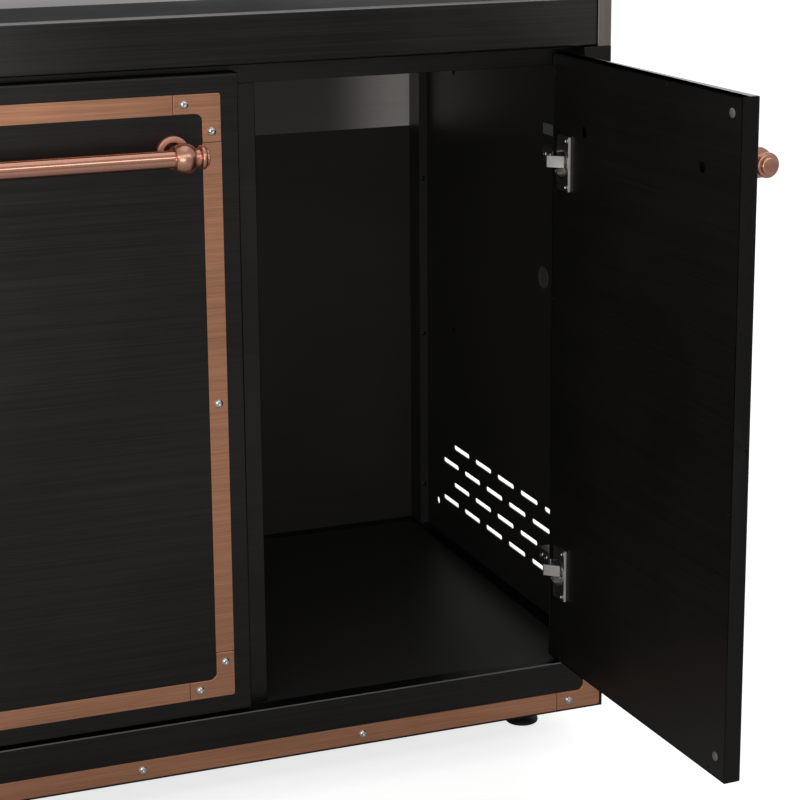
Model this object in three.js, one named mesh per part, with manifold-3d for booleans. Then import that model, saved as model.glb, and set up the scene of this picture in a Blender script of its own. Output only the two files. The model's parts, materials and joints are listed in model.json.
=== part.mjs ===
// Outdoor kitchen island: a black steel cabinet with two copper trimmed doors, a copper trimmed base,
// a brushed worktop and levelling feet. The left door is shut and the right door stands open.
// Millimetres. X runs along the front, Y runs to the back and Z is up.
// While the pieces are made, X = 0 is the middle, Y = 0 is the doors' front face and Z = 0 is the ground.
// The last lines move the whole island, so that its origin is the middle of its box, on the ground.

import * as THREE from "three";
import { mergeVertices } from "three/addons/utils/BufferGeometryUtils.js";
import Module from "manifold-3d";

const wasm = await Module();
wasm.setup();

// Doors
const doorWidth = 400;
const doorHeight = 718;
const doorThickness = 20;
const doorSheet = 1.5;
const doorGap = 3; // between the two doors, and between a door and its post
const doorHeadGap = 7;
const doorFootGap = 4.5;
const openAngle = THREE.MathUtils.degToRad(92);

// Cabinet
const sheet = 2;
const cabinetDepth = 583;
const standHeight = 52;
const railHeight = 62.5;
const railTopFlange = 20;
const railLowFlange = 40;
const railFootFlange = 75;
const floorLip = 25;
const postWidth = 33;
const postDepth = 75;
const rearPostWidth = 11.5;
const rearPostDepth = 35;
const frameSetback = 22.5; // from the doors' front face to the stile and the header
const stileWidth = 48;
const stileDepth = 30;
const headerHeight = 21.5;
const headerDepth = 30;
const swingClearance = 1;
const headerStep = 3; // height of the header's notches above the doors
const rearHeaderHeight = 30;
const rearHeaderDepth = 40;
const upperBackHeight = 170;

// Vents in the side panels
const slotLength = 53;
const slotWidth = 6.5;
const slotPitch = 72.5;
const slotRowPitch = 26.6;
const slotRows = 4;
const slotsInRow = 5;
const ventsBack = 119.7; // from the cabinet's back to the middle of the rearmost slot
const ventsLift = 56; // from the floor pan to the lowest row
const drainHoleRadius = 5;
const drainHoleBack = 73.8;
const drainHoleLift = 43.6;

// Worktop
const worktopDepth = 600;
const worktopSheet = 2;
const fasciaHeight = 54;
const fasciaSetback = 6;
const fasciaFlange = 32;
const endTrimWidth = 16.5;
const frontBand = 140;
const sideBand = 30;
const backBand = 30;
const inlayStep = 0.5;
const inlayGap = 0.4;
const coreThickness = 18;
const bearerWidth = 40;
const bearerInset = 45;

// Copper trim and its rivets
const trimInset = 20;
const trimWidth = 21;
const trimThickness = 1;
const bracketLeg = 52;
const bracketThickness = 1.6;
const bracketFillet = 8;
const bracketCorner = 3;
const trimJoint = 0.3;
const rivetRadius = 5.25;
const rivetHeight = 3;
const rivetInset = 11.7;
const baseTrimWidth = 22;
const baseTrimLift = 2.5;
const baseTrimSideInset = 4.2;
const baseBracketLeg = 56;
const baseRivetInset = 45;
const baseRivets = 4;
const postStripHeadInset = 20;

// Handles
const handleDrop = 80;
const handleInset = 74;
const barRadius = 9.5;
const barStandoff = 46;
const spigotRadius = 6;
const ballRadius = 14.75;
const ballCollarRadius = 12.5;
const ballCollarReach = 11;
const ballShoulderRadius = 10.5;
const stemRadius = 7.5;
const rosetteRadius = 17;
const rosetteRimRadius = 11;
const rosetteThickness = 4;
const rosetteRim = 1.5;
const capNeckRadius = 9;
const capNeckLength = 5.5;
const capRingRadius = 12;
const capRingLength = 5;
const capEdge = 1;
const capEndRadius = 9.8;
const capEndLength = 4.5;
const capDome = 1.2;
const accessHoleRadius = 6.5;

// Hinges, measured from the pivot
const pivotInset = 13;
const pivotDepth = 8;
const hingeHeadInset = 121;
const hingeFootInset = 111;
const pinRadius = 1.6;
const noseRadius = 4.5;
const armHalfHeight = 6.9;
const armSheet = 1.5;
const armNeck = 20;
const armWebGap = 3;
const armSetback = 8; // from the post's rear edge
const wingHalfHeight = 24;
const wingInset = 10;
const wingDepth = 22;
const hingeClearance = 1;
const knuckleRadius = 4.1;
const knuckleHalfHeight = 6.5;
const cupRadius = 17.5;
const cupWall = 1;
const cupDepth = 11.5;
const cupInset = 25;
const flangeFrom = 43; // from the door's hinge edge to the flange's two upright edges
const flangeTo = 16;
const flangeHalfHeight = 31;
const flangeThickness = 2.7;
const linkRun = 14.1; // the link's length along X and along Y when the door is shut
const linkThickness = 2;
const linkRootInset = 22.6;
const linkRootDepth = 1.2;
const bumperRadius = 5;
const bumperHeight = 1.9;
const bumperSideInset = 18.5;
const bumperHeadInset = 18;
const bumperFootInset = 24;

// Feet
const footInset = 57.5;
const footSetback = 105;
const padRadius = 20;
const padRim = 4;
const padHeight = 9;
const padNeck = 12;
const footStemRadius = 6;
const footStemTop = 14; // above the rail's low flange
const nutRadius = 10;
const nutHeight = 8;
const nutSides = 6;

// Cable hole
const grommetRadius = 12;
const grommetBoreRadius = 8;
const grommetLipRadius = 14;
const grommetLip = 1.2;
const grommetSetback = 170;
const grommetLift = 429;

// Clearances and roundness
const clearance = 0.3; // between pieces that lie on each other inside a door
const overrun = 5; // how far a cut runs past the face it leaves
const weld = 0.0001;
const roundSides = 24;
const smallSides = 12;
const domeSteps = 3;
const ballSteps = 6;
const filletSteps = 4;
const slotSteps = 2;

// Levels and lines that the pieces share
const floorTop = standHeight + railHeight;
const doorBottom = floorTop + doorFootGap;
const doorTop = doorBottom + doorHeight;
const cabinetTop = doorTop + doorHeadGap;
const headerBottom = cabinetTop - headerHeight;
const coreTop = cabinetTop + fasciaHeight;
const worktopTop = coreTop + worktopSheet;
const halfWidth = postWidth + doorGap + doorWidth + doorGap / 2;
const postLine = halfWidth - postWidth;
const hingeLine = postLine - doorGap;
const pivotLine = hingeLine - pivotInset;
const sideInner = halfWidth - sheet;
const backInner = cabinetDepth - sheet;
const frameBack = frameSetback + sheet;
const trimLine = halfWidth - endTrimWidth;
const upperBackBottom = cabinetTop - upperBackHeight;
const hingeHeights = { low: doorBottom + hingeFootInset, high: doorTop - hingeHeadInset };
const footPlaces = [footSetback, cabinetDepth - footSetback];
const sides = { left: -1, right: 1 };

const finishes = {
  blackSteel: { color: 0x141312, roughness: 0.42, metalness: 0.85 },
  blackSheet: { color: 0x0d0d0d, roughness: 0.5, metalness: 0.6 },
  copper: { color: 0xb06a4c, roughness: 0.32, metalness: 1 },
  stainless: { color: 0x8d8880, roughness: 0.38, metalness: 1 },
  satinTrim: { color: 0x6b625a, roughness: 0.4, metalness: 1 },
  nickel: { color: 0xa6a39d, roughness: 0.28, metalness: 1 },
  rubber: { color: 0x55565a, roughness: 0.6, metalness: 0 },
  blackPlastic: { color: 0x1b1b1c, roughness: 0.5, metalness: 0 },
  board: { color: 0x4b4743, roughness: 0.85, metalness: 0 },
};

// Turns any closed geometry into a solid that can be joined to and cut by others.
function solid(geometry) {
  const bare = new THREE.BufferGeometry();
  bare.setAttribute("position", geometry.getAttribute("position"));
  bare.setIndex(geometry.getIndex());
  const welded = mergeVertices(bare, weld);
  const index = welded.getIndex().array;
  const triangles = [];
  for (let i = 0; i < index.length; i += 3) {
    const [a, b, c] = [index[i], index[i + 1], index[i + 2]];
    if (a !== b && b !== c && c !== a) {
      triangles.push(a, b, c);
    }
  }
  return new wasm.Manifold(new wasm.Mesh({
    numProp: 3,
    vertProperties: new Float32Array(welded.getAttribute("position").array),
    triVerts: new Uint32Array(triangles),
  }));
}

function join(pieces) {
  return pieces.reduce((whole, piece) => whole.add(piece));
}

function cut(piece, cutters) {
  return cutters.reduce((whole, cutter) => whole.subtract(cutter), piece);
}

// A straight block between two places on each axis, given in either order.
function block([x0, x1], [y0, y1], [z0, z1]) {
  const box = new THREE.BoxGeometry(Math.abs(x1 - x0), Math.abs(y1 - y0), Math.abs(z1 - z0));
  box.translate((x0 + x1) / 2, (y0 + y1) / 2, (z0 + z1) / 2);
  return solid(box);
}

// Each axis with the two that span its cross section, in the order that keeps faces outward.
const frames = {
  x: new THREE.Matrix4().makeBasis(unit("y"), unit("z"), unit("x")),
  y: new THREE.Matrix4().makeBasis(unit("z"), unit("x"), unit("y")),
  z: new THREE.Matrix4().makeBasis(unit("x"), unit("y"), unit("z")),
};

function unit(axis) {
  return new THREE.Vector3(Number(axis === "x"), Number(axis === "y"), Number(axis === "z"));
}

// An outline in the cross section of an axis, drawn out along that axis.
function prism(shape, axis, from, to, steps = filletSteps) {
  const geometry = new THREE.ExtrudeGeometry(shape, {
    depth: to - from,
    bevelEnabled: false,
    curveSegments: steps,
  });
  geometry.translate(0, 0, from);
  geometry.applyMatrix4(frames[axis]);
  return solid(geometry);
}

function outline(points) {
  return new THREE.Shape(points.map(([p, q]) => new THREE.Vector2(p, q)));
}

// A round bar along an axis, between two places on it, through [p, q] in its cross section.
function bar(axis, radius, from, to, [p, q], count = roundSides) {
  const geometry = new THREE.CylinderGeometry(radius, radius, Math.abs(to - from), count);
  geometry.rotateX(Math.PI / 2);
  geometry.translate(p, q, (from + to) / 2);
  geometry.applyMatrix4(frames[axis]);
  return solid(geometry);
}

// A turned piece: the profile lists [radius, distance along the axis] from one end to the other.
function turned(axis, profile, [p, q], along = 0, count = roundSides) {
  const points = profile.map(([radius, distance]) => new THREE.Vector2(radius, distance));
  const geometry = new THREE.LatheGeometry(points, count);
  geometry.rotateX(Math.PI / 2);
  geometry.translate(p, q, along);
  geometry.applyMatrix4(frames[axis]);
  return solid(geometry);
}

// A rounded head on a face that looks along an axis, backwards or forwards. It may sink below the face.
function dome(axis, radius, height, along, place, direction, sunk = 0) {
  const profile = [];
  for (let step = 0; step <= domeSteps; step += 1) {
    const turn = (step / domeSteps) * (Math.PI / 2);
    profile.push([radius * Math.cos(turn), direction * height * Math.sin(turn)]);
  }
  profile[domeSteps][0] = 0;
  const closed = [[0, -direction * sunk], [radius, -direction * sunk], ...profile.slice(sunk > 0 ? 0 : 1)];
  return turned(axis, direction > 0 ? closed : closed.reverse(), place, along, smallSides);
}

const island = new THREE.Group();

function addNode(parent, name, body, finish) {
  const { vertProperties, triVerts } = body.getMesh();
  const geometry = new THREE.BufferGeometry();
  geometry.setAttribute("position", new THREE.BufferAttribute(new Float32Array(vertProperties), 3));
  geometry.setIndex(new THREE.BufferAttribute(new Uint32Array(triVerts), 1));
  geometry.computeVertexNormals();
  const mesh = new THREE.Mesh(geometry, new THREE.MeshStandardMaterial(finishes[finish]));
  mesh.name = name;
  parent.add(mesh);
}

// The base: a welded frame of folded rails, with the floor pan between its top flanges.
function makeBase() {
  const whole = [0, cabinetDepth];
  const across = [-halfWidth, halfWidth];
  const topSpan = [floorTop - sheet, floorTop];
  const lowSpan = [standHeight, standHeight + sheet];
  const rails = [
    block(across, [0, sheet], [standHeight, floorTop]),
    block(across, [0, railTopFlange], topSpan),
    block(across, [0, railLowFlange], lowSpan),
    block(across, [backInner, cabinetDepth], [standHeight, floorTop]),
    block(across, [cabinetDepth - railTopFlange, cabinetDepth], topSpan),
    block(across, [cabinetDepth - railLowFlange, cabinetDepth], lowSpan),
  ];
  const holes = [];
  for (const sign of Object.values(sides)) {
    const outer = sign * halfWidth;
    rails.push(
      block([sign * sideInner, outer], whole, [standHeight, floorTop]),
      block([sign * (halfWidth - railTopFlange), outer], whole, topSpan),
      block([sign * (halfWidth - railFootFlange), outer], whole, lowSpan),
    );
    footPlaces.forEach((y) => {
      const ends = [standHeight - overrun, standHeight + sheet + overrun];
      holes.push(bar("z", footStemRadius + clearance, ...ends, [sign * (halfWidth - footInset), y], smallSides));
    });
  }
  addNode(island, "base_frame", cut(join(rails), holes), "blackSteel");

  const panX = halfWidth - railTopFlange;
  const panSpan = [railTopFlange, cabinetDepth - railTopFlange];
  const pan = cut(
    block([-panX, panX], panSpan, [floorTop - floorLip, floorTop]),
    [block(
      [sheet - panX, panX - sheet],
      [panSpan[0] + sheet, panSpan[1] - sheet],
      [floorTop - floorLip - overrun, floorTop - sheet],
    )],
  );
  addNode(island, "floor_pan", pan, "blackSheet");
}

// A pad on a threaded stem, with a nut under the rail's flange and one on it.
function makeFoot(x, y) {
  const stemTop = standHeight + sheet + footStemTop;
  const foot = turned("z", [
    [0, 0],
    [padRadius, 0],
    [padRadius, padRim],
    [padNeck, padHeight],
    [footStemRadius, padHeight],
    [footStemRadius, stemTop],
    [0, stemTop],
  ], [x, y], 0, smallSides);
  const nutPlaces = [[standHeight - nutHeight, standHeight], [standHeight + sheet, standHeight + sheet + nutHeight]];
  const nuts = nutPlaces.map(([from, to]) => bar("z", nutRadius, from, to, [x, y], nutSides));
  return join([foot, ...nuts]);
}

function makeFeet() {
  for (const [side, sign] of Object.entries(sides)) {
    const x = sign * (halfWidth - footInset);
    addNode(island, `levelling_foot_front_${side}`, makeFoot(x, footPlaces[0]), "nickel");
    addNode(island, `levelling_foot_back_${side}`, makeFoot(x, footPlaces[1]), "nickel");
  }
}

// The shell of the cabinet: folded posts, vented sides and two back panels.
function makeShell() {
  for (const [side, sign] of Object.entries(sides)) {
    const frontPost = outline([
      [sign * sideInner, 0],
      [sign * postLine, 0],
      [sign * postLine, postDepth],
      [sign * sideInner, postDepth],
      [sign * sideInner, postDepth - sheet],
      [sign * (postLine + sheet), postDepth - sheet],
      [sign * (postLine + sheet), sheet],
      [sign * sideInner, sheet],
    ]);
    addNode(island, `front_post_${side}`, prism(frontPost, "z", floorTop, cabinetTop), "blackSteel");

    const rearLine = sideInner - rearPostWidth;
    const rearPost = outline([
      [sign * sideInner, backInner - rearPostDepth],
      [sign * rearLine, backInner - rearPostDepth],
      [sign * rearLine, backInner],
      [sign * (rearLine + sheet), backInner],
      [sign * (rearLine + sheet), backInner - rearPostDepth + sheet],
      [sign * sideInner, backInner - rearPostDepth + sheet],
    ]);
    addNode(island, `rear_post_${side}`, prism(rearPost, "z", floorTop, cabinetTop), "blackSheet");
    addNode(island, `side_panel_${side}`, makeSidePanel(sign), "blackSheet");
  }
  const backSpan = [backInner, cabinetDepth];
  const lower = block([-sideInner, sideInner], backSpan, [floorTop, upperBackBottom]);
  const upper = block([-sideInner, sideInner], backSpan, [upperBackBottom, cabinetTop]);
  addNode(island, "back_panel_lower", lower, "blackSheet");
  addNode(island, "back_panel_upper", upper, "stainless");
}

function roundSlot(y, z) {
  const path = new THREE.Path();
  const reach = (slotLength - slotWidth) / 2;
  path.absarc(y + reach, z, slotWidth / 2, -Math.PI / 2, Math.PI / 2);
  path.absarc(y - reach, z, slotWidth / 2, Math.PI / 2, (Math.PI * 3) / 2);
  return path;
}

// A side panel with rows of slots near its foot, every second row half a pitch further forward.
function makeSidePanel(sign) {
  const panel = outline([
    [0, floorTop],
    [cabinetDepth, floorTop],
    [cabinetDepth, cabinetTop],
    [0, cabinetTop],
  ]);
  for (let row = 0; row < slotRows; row += 1) {
    const stagger = (row % 2) * (slotPitch / 2);
    for (let slot = 0; slot < slotsInRow; slot += 1) {
      const y = cabinetDepth - ventsBack - stagger - slot * slotPitch;
      panel.holes.push(roundSlot(y, floorTop + ventsLift + row * slotRowPitch));
    }
  }
  const span = [sign * sideInner, sign * halfWidth].sort((a, b) => a - b);
  const ends = [span[0] - overrun, span[1] + overrun];
  const drain = [cabinetDepth - drainHoleBack, floorTop + drainHoleLift];
  const holes = [bar("x", drainHoleRadius, ...ends, drain, smallSides)];
  if (sign > 0) {
    const cable = [grommetSetback, floorTop + grommetLift];
    holes.push(bar("x", grommetRadius + clearance, ...ends, cable, smallSides));
  }
  return cut(prism(panel, "x", ...span, slotSteps), holes);
}

// The front frame behind the doors. The header is notched where a door's hinge corner swings.
function makeFrontFrame() {
  const half = stileWidth / 2;
  const stileBack = frameSetback + stileDepth;
  const stile = outline([
    [-half, frameSetback],
    [half, frameSetback],
    [half, stileBack],
    [half - sheet, stileBack],
    [half - sheet, frameBack],
    [sheet - half, frameBack],
    [sheet - half, stileBack],
    [-half, stileBack],
  ]);
  addNode(island, "centre_stile", prism(stile, "z", floorTop, headerBottom), "blackSteel");

  const cornerSwing = Math.hypot(pivotInset, doorThickness - pivotDepth);
  const cornerDepth = frameSetback - swingClearance - pivotDepth;
  const notchLine = pivotLine - Math.sqrt(Math.max(0, cornerSwing ** 2 - cornerDepth ** 2));
  const header = join([
    block([-postLine, postLine], [frameSetback, frameBack], [doorTop + headerStep, cabinetTop]),
    block([-notchLine, notchLine], [frameSetback, frameBack], [headerBottom, cabinetTop]),
    block([-notchLine, notchLine], [frameSetback, frameSetback + headerDepth], [headerBottom, headerBottom + sheet]),
  ]);
  addNode(island, "front_header", header, "blackSteel");

  const rearX = sideInner - rearPostWidth;
  const rearHeader = join([
    block([-rearX, rearX], [backInner - sheet, backInner], [cabinetTop - rearHeaderHeight, cabinetTop]),
    block([-rearX, rearX], [backInner - rearHeaderDepth, backInner], [cabinetTop - sheet, cabinetTop]),
  ]);
  addNode(island, "rear_header", rearHeader, "blackSheet");
}

// The worktop: a fascia, end trims and a back apron around bearers and a board, with a framed inlay on it.
function makeWorktop() {
  const trimSpan = [cabinetTop, worktopTop];
  const fascia = join([
    block([-trimLine, trimLine], [fasciaSetback, fasciaSetback + sheet], [cabinetTop, coreTop]),
    block([-trimLine, trimLine], [fasciaSetback, fasciaSetback + fasciaFlange], [cabinetTop, cabinetTop + sheet]),
  ]);
  addNode(island, "fascia", fascia, "blackSteel");
  const apron = join([
    block([-trimLine, trimLine], [worktopDepth - sheet, worktopDepth], [cabinetTop, coreTop]),
    block([-trimLine, trimLine], [worktopDepth - fasciaFlange, worktopDepth], [cabinetTop, cabinetTop + sheet]),
  ]);
  addNode(island, "back_apron", apron, "blackSteel");
  for (const [side, sign] of Object.entries(sides)) {
    const trim = cut(
      block([sign * trimLine, sign * halfWidth], [0, worktopDepth], trimSpan),
      [block(
        [sign * (trimLine - overrun), sign * sideInner],
        [sheet, worktopDepth - sheet],
        [cabinetTop + sheet, worktopTop - sheet],
      )],
    );
    addNode(island, `end_trim_${side}`, trim, "satinTrim");
  }

  const inside = [fasciaSetback + sheet, worktopDepth - sheet];
  const coreBottom = coreTop - coreThickness;
  const bearerLines = [bearerInset - trimLine, 0, trimLine - bearerInset];
  const bearerSpan = [cabinetTop + sheet, coreBottom];
  const bearers = bearerLines.map((x) => (
    block([x - bearerWidth / 2, x + bearerWidth / 2], inside, bearerSpan)
  ));
  const rungEnds = [bearerLines[0], bearerLines[2]];
  bearers.push(block(rungEnds, [inside[0], inside[0] + bearerWidth], bearerSpan));
  bearers.push(block(rungEnds, [inside[1] - bearerWidth, inside[1]], bearerSpan));
  addNode(island, "worktop_bearers", join(bearers), "stainless");
  addNode(island, "worktop_core", block([-trimLine, trimLine], inside, [coreBottom, coreTop]), "board");

  const inlayLine = trimLine - sideBand;
  const inlaySpan = [fasciaSetback + frontBand, worktopDepth - backBand];
  const hole = block([-inlayLine, inlayLine], inlaySpan, [coreTop - overrun, worktopTop + overrun]);
  const plate = block([-trimLine, trimLine], [fasciaSetback, worktopDepth], [coreTop, worktopTop]);
  addNode(island, "worktop_frame", cut(plate, [hole]), "blackSteel");
  const inlay = block(
    [inlayGap - inlayLine, inlayLine - inlayGap],
    [inlaySpan[0] + inlayGap, inlaySpan[1] - inlayGap],
    [coreTop, worktopTop - inlayStep],
  );
  addNode(island, "worktop_inlay", inlay, "stainless");
}

// An L of flat bar with a rounded inner corner. The corner stands at [x, z], with legs towards signs.
function bracket(x, z, [signX, signZ], leg, width, from, to) {
  const shape = new THREE.Shape();
  const at = (along, across) => [z + signZ * across, x + signX * along];
  const points = [at(bracketCorner, 0), at(leg, 0), at(leg, width), at(width + bracketFillet, width)];
  shape.moveTo(...points[0]);
  points.slice(1).forEach((point) => shape.lineTo(...point));
  shape.quadraticCurveTo(...at(width, width), ...at(width, width + bracketFillet));
  [at(width, leg), at(0, leg), at(0, bracketCorner)].forEach((point) => shape.lineTo(...point));
  shape.quadraticCurveTo(...at(0, 0), ...at(bracketCorner, 0));
  return prism(shape, "y", from, to);
}

function rivet(faceY, z, x) {
  return dome("y", rivetRadius, rivetHeight, faceY, [z, x], -1, trimThickness / 2);
}

// Copper on the base rail and up the two front posts, each piece with its rivets.
function makeBaseTrim() {
  const outer = halfWidth - baseTrimSideInset;
  const low = standHeight + baseTrimLift;
  const stripEnd = outer - baseBracketLeg - trimJoint;
  const stripMiddle = low + baseTrimWidth / 2;
  const face = [-trimThickness, 0];
  const reach = halfWidth - baseRivetInset;
  const strip = [block([-stripEnd, stripEnd], face, [low, low + baseTrimWidth])];
  for (let i = 1; i < baseRivets - 1; i += 1) {
    strip.push(rivet(-trimThickness, stripMiddle, reach * ((2 * i) / (baseRivets - 1) - 1)));
  }
  addNode(island, "base_strip", join(strip), "copper");

  for (const [side, sign] of Object.entries(sides)) {
    const uprightMiddle = sign * (outer - baseTrimWidth / 2);
    const corner = join([
      bracket(sign * outer, low, [-sign, 1], baseBracketLeg, baseTrimWidth, -bracketThickness, 0),
      rivet(-bracketThickness, stripMiddle, sign * reach),
      rivet(-bracketThickness, low + baseBracketLeg - rivetInset, uprightMiddle),
    ]);
    addNode(island, `base_bracket_${side}`, corner, "copper");
    const uprightX = [sign * (outer - baseTrimWidth), sign * outer];
    const uprightZ = [low + baseBracketLeg + trimJoint, doorTop - postStripHeadInset];
    const upright = join([
      block(uprightX, face, uprightZ),
      rivet(-trimThickness, uprightZ[1] - rivetInset, uprightMiddle),
      rivet(-trimThickness, (doorBottom + doorTop) / 2, uprightMiddle),
    ]);
    addNode(island, `post_strip_${side}`, upright, "copper");
  }
}

// The fixed half of each hinge: two cheeks that hold the pin, a web behind them and a plate on the post.
function makeHingeArms() {
  const reach = armHalfHeight + armSheet;
  for (const [side, sign] of Object.entries(sides)) {
    for (const [level, z] of Object.entries(hingeHeights)) {
      addNode(island, `hinge_arm_${side}_${level}`, makeArm(sign, z), "nickel");
      const pin = bar("z", pinRadius, z - reach, z + reach, [sign * pivotLine, pivotDepth], smallSides);
      addNode(island, `hinge_pin_${side}_${level}`, pin, "nickel");
    }
  }
}

function makeArm(sign, z) {
  const x = (distance) => sign * (pivotLine + distance);
  const y = (distance) => pivotDepth + distance;
  const toPost = pivotInset + doorGap;
  const rear = postDepth - armSetback - pivotDepth;
  const cheek = new THREE.Shape();
  cheek.moveTo(x(noseRadius), y(0));
  cheek.lineTo(x(noseRadius), y(armNeck));
  cheek.lineTo(x(toPost), y(armNeck));
  cheek.lineTo(x(toPost), y(rear));
  cheek.lineTo(x(-noseRadius), y(rear));
  cheek.lineTo(x(-noseRadius), y(0));
  const [start, end] = sign > 0 ? [Math.PI, Math.PI * 2] : [0, -Math.PI];
  cheek.absarc(x(0), y(0), noseRadius, start, end, sign < 0);
  const outside = armHalfHeight + armSheet;
  const linkEnd = [pivotInset - linkRootInset + linkRun, doorThickness - pivotDepth - linkRootDepth + linkRun];
  const linkReach = Math.hypot(...linkEnd) + linkThickness;
  const webFront = Math.min(linkReach + armWebGap, rear - armSheet);
  const web = block([x(-noseRadius), x(armSheet - noseRadius)], [y(webFront), y(rear)], [z - outside, z + outside]);
  const seat = block([x(toPost - armSheet), x(toPost)], [y(armNeck), y(rear)], [z - outside, z + outside]);
  const wingSpan = [y(rear - wingInset - wingDepth), y(rear - wingInset)];
  const wing = block([x(toPost - sheet), x(toPost)], wingSpan, [z - wingHalfHeight, z + wingHalfHeight]);
  const arm = join([
    prism(cheek, "z", z + armHalfHeight, z + outside),
    prism(cheek, "z", z - outside, z - armHalfHeight),
    web,
    seat,
    wing,
  ]);
  const boreReach = outside + overrun;
  const bore = bar("z", pinRadius + clearance, z - boreReach, z + boreReach, [x(0), y(0)], smallSides);
  return cut(arm, [bore]);
}

// The gap that each hinge needs in the door, from the pivot to the hinge edge and the back face.
function hingeNotch(sign, z) {
  const reach = noseRadius + hingeClearance;
  const half = armHalfHeight + armSheet + hingeClearance;
  return block(
    [-sign * reach, sign * (pivotInset + overrun)],
    [-reach, doorThickness - pivotDepth + overrun],
    [z - half, z + half],
  );
}

// The moving half of each hinge: a flanged cup, a knuckle on the pin and the link that it carries.
function makeHingeCup(sign, z) {
  const back = doorThickness - pivotDepth;
  const face = back + clearance;
  const u = (fromEdge) => sign * (pivotInset - fromEdge);
  const cupCentre = [z, u(cupInset)];
  const floor = back - cupDepth;
  const flange = block([u(flangeFrom), u(flangeTo)], [face, face + flangeThickness], [
    z - flangeHalfHeight,
    z + flangeHalfHeight,
  ]);
  const cupOuter = bar("y", cupRadius, floor, face + flangeThickness / 2, cupCentre);
  const cupInner = bar("y", cupRadius - cupWall, floor + cupWall, face + overrun * 2, cupCentre);
  const shell = cut(join([flange, cupOuter]), [cupInner, hingeNotch(sign, z)]);

  const span = [z - knuckleHalfHeight, z + knuckleHalfHeight];
  const knuckle = bar("z", knuckleRadius, span[0], span[1], [0, 0], smallSides);
  const linkX = u(linkRootInset);
  const post = block([linkX - sign * linkThickness, linkX], [floor, back - linkRootDepth], span);
  const foot = block([linkX - sign * linkThickness, 0], [floor, floor + linkThickness], span);
  const linkTop = back - linkRootDepth;
  const link = outline([
    [linkX - sign * linkThickness, linkTop - linkThickness],
    [linkX, linkTop - linkThickness],
    [linkX + sign * linkRun, linkTop - linkThickness + linkRun],
    [linkX + sign * linkRun, linkTop + linkRun],
    [linkX + sign * (linkRun - linkThickness), linkTop + linkRun],
    [linkX - sign * linkThickness, linkTop],
  ]);
  const moving = join([knuckle, post, foot, prism(link, "z", span[0], span[1])]);
  const boreReach = knuckleHalfHeight + overrun;
  const bore = bar("z", pinRadius + clearance, z - boreReach, z + boreReach, [0, 0], smallSides);
  return cut(join([shell, moving]), [bore]);
}

// A ball with a collar on its inner side, on a stem from a rosette. The bar's spigot runs through it.
function makeHandleBracket(x, z, inward) {
  const faceY = -pivotDepth - clearance;
  const axisY = -pivotDepth - barStandoff;
  const rosetteFront = faceY - rosetteThickness;
  const rosette = turned("y", [
    [0, axisY],
    [stemRadius, axisY],
    [stemRadius, rosetteFront + rosetteRim],
    [rosetteRimRadius, rosetteFront + rosetteRim],
    [rosetteRimRadius, rosetteFront],
    [rosetteRadius - rosetteRim, rosetteFront],
    [rosetteRadius, rosetteFront + rosetteRim],
    [rosetteRadius, faceY],
    [0, faceY],
  ], [z, x]);
  const profile = [[0, -ballCollarReach], [ballCollarRadius, -ballCollarReach]];
  const from = -Math.acos(ballCollarRadius / ballRadius);
  const to = Math.acos(ballShoulderRadius / ballRadius);
  for (let step = 0; step <= ballSteps; step += 1) {
    const turn = from + ((to - from) * step) / ballSteps;
    profile.push([ballRadius * Math.cos(turn), ballRadius * Math.sin(turn)]);
  }
  profile.push([0, ballRadius * Math.sin(to)]);
  const mirrored = profile.map(([radius, along]) => [radius, -along]).reverse();
  const ball = turned("x", inward < 0 ? profile : mirrored, [axisY, z], x);
  const reach = ballCollarReach + overrun;
  const bore = bar("x", spigotRadius + clearance, x - reach, x + reach, [axisY, z], smallSides);
  return cut(join([rosette, ball]), [bore]);
}

const shoulderReach = Math.sqrt(ballRadius ** 2 - ballShoulderRadius ** 2);

// The bar between the two balls, with a thinner spigot through each and a turned cap on its end.
function makeHandleBar(xs, z) {
  const axisY = -pivotDepth - barStandoff;
  const inner = ballCollarReach + clearance;
  const spigotReach = shoulderReach + capNeckLength;
  return join([
    bar("x", barRadius, xs[0] + inner, xs[1] - inner, [axisY, z]),
    bar("x", spigotRadius, xs[0] - spigotReach, xs[1] + spigotReach, [axisY, z], smallSides),
    makeEndCap(xs[0], z, -1),
    makeEndCap(xs[1], z, 1),
  ]);
}

function makeEndCap(x, z, outward) {
  const start = shoulderReach + clearance;
  const ringStart = start + capNeckLength;
  const ringEnd = ringStart + capRingLength;
  const end = ringEnd + capEndLength;
  const profile = [
    [0, start],
    [capNeckRadius, start],
    [capNeckRadius, ringStart],
    [capRingRadius - capEdge, ringStart],
    [capRingRadius, ringStart + capEdge],
    [capRingRadius, ringEnd - capEdge],
    [capRingRadius - capEdge, ringEnd],
    [capEndRadius, ringEnd],
    [capEndRadius, end - capDome * 2],
    [capEndRadius - capDome, end - capDome],
    [capEndRadius / 2, end],
    [0, end],
  ];
  const mirrored = profile.map(([radius, along]) => [radius, -along]).reverse();
  const axisY = -pivotDepth - barStandoff;
  return turned("x", outward > 0 ? profile : mirrored, [axisY, z], x);
}

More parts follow.
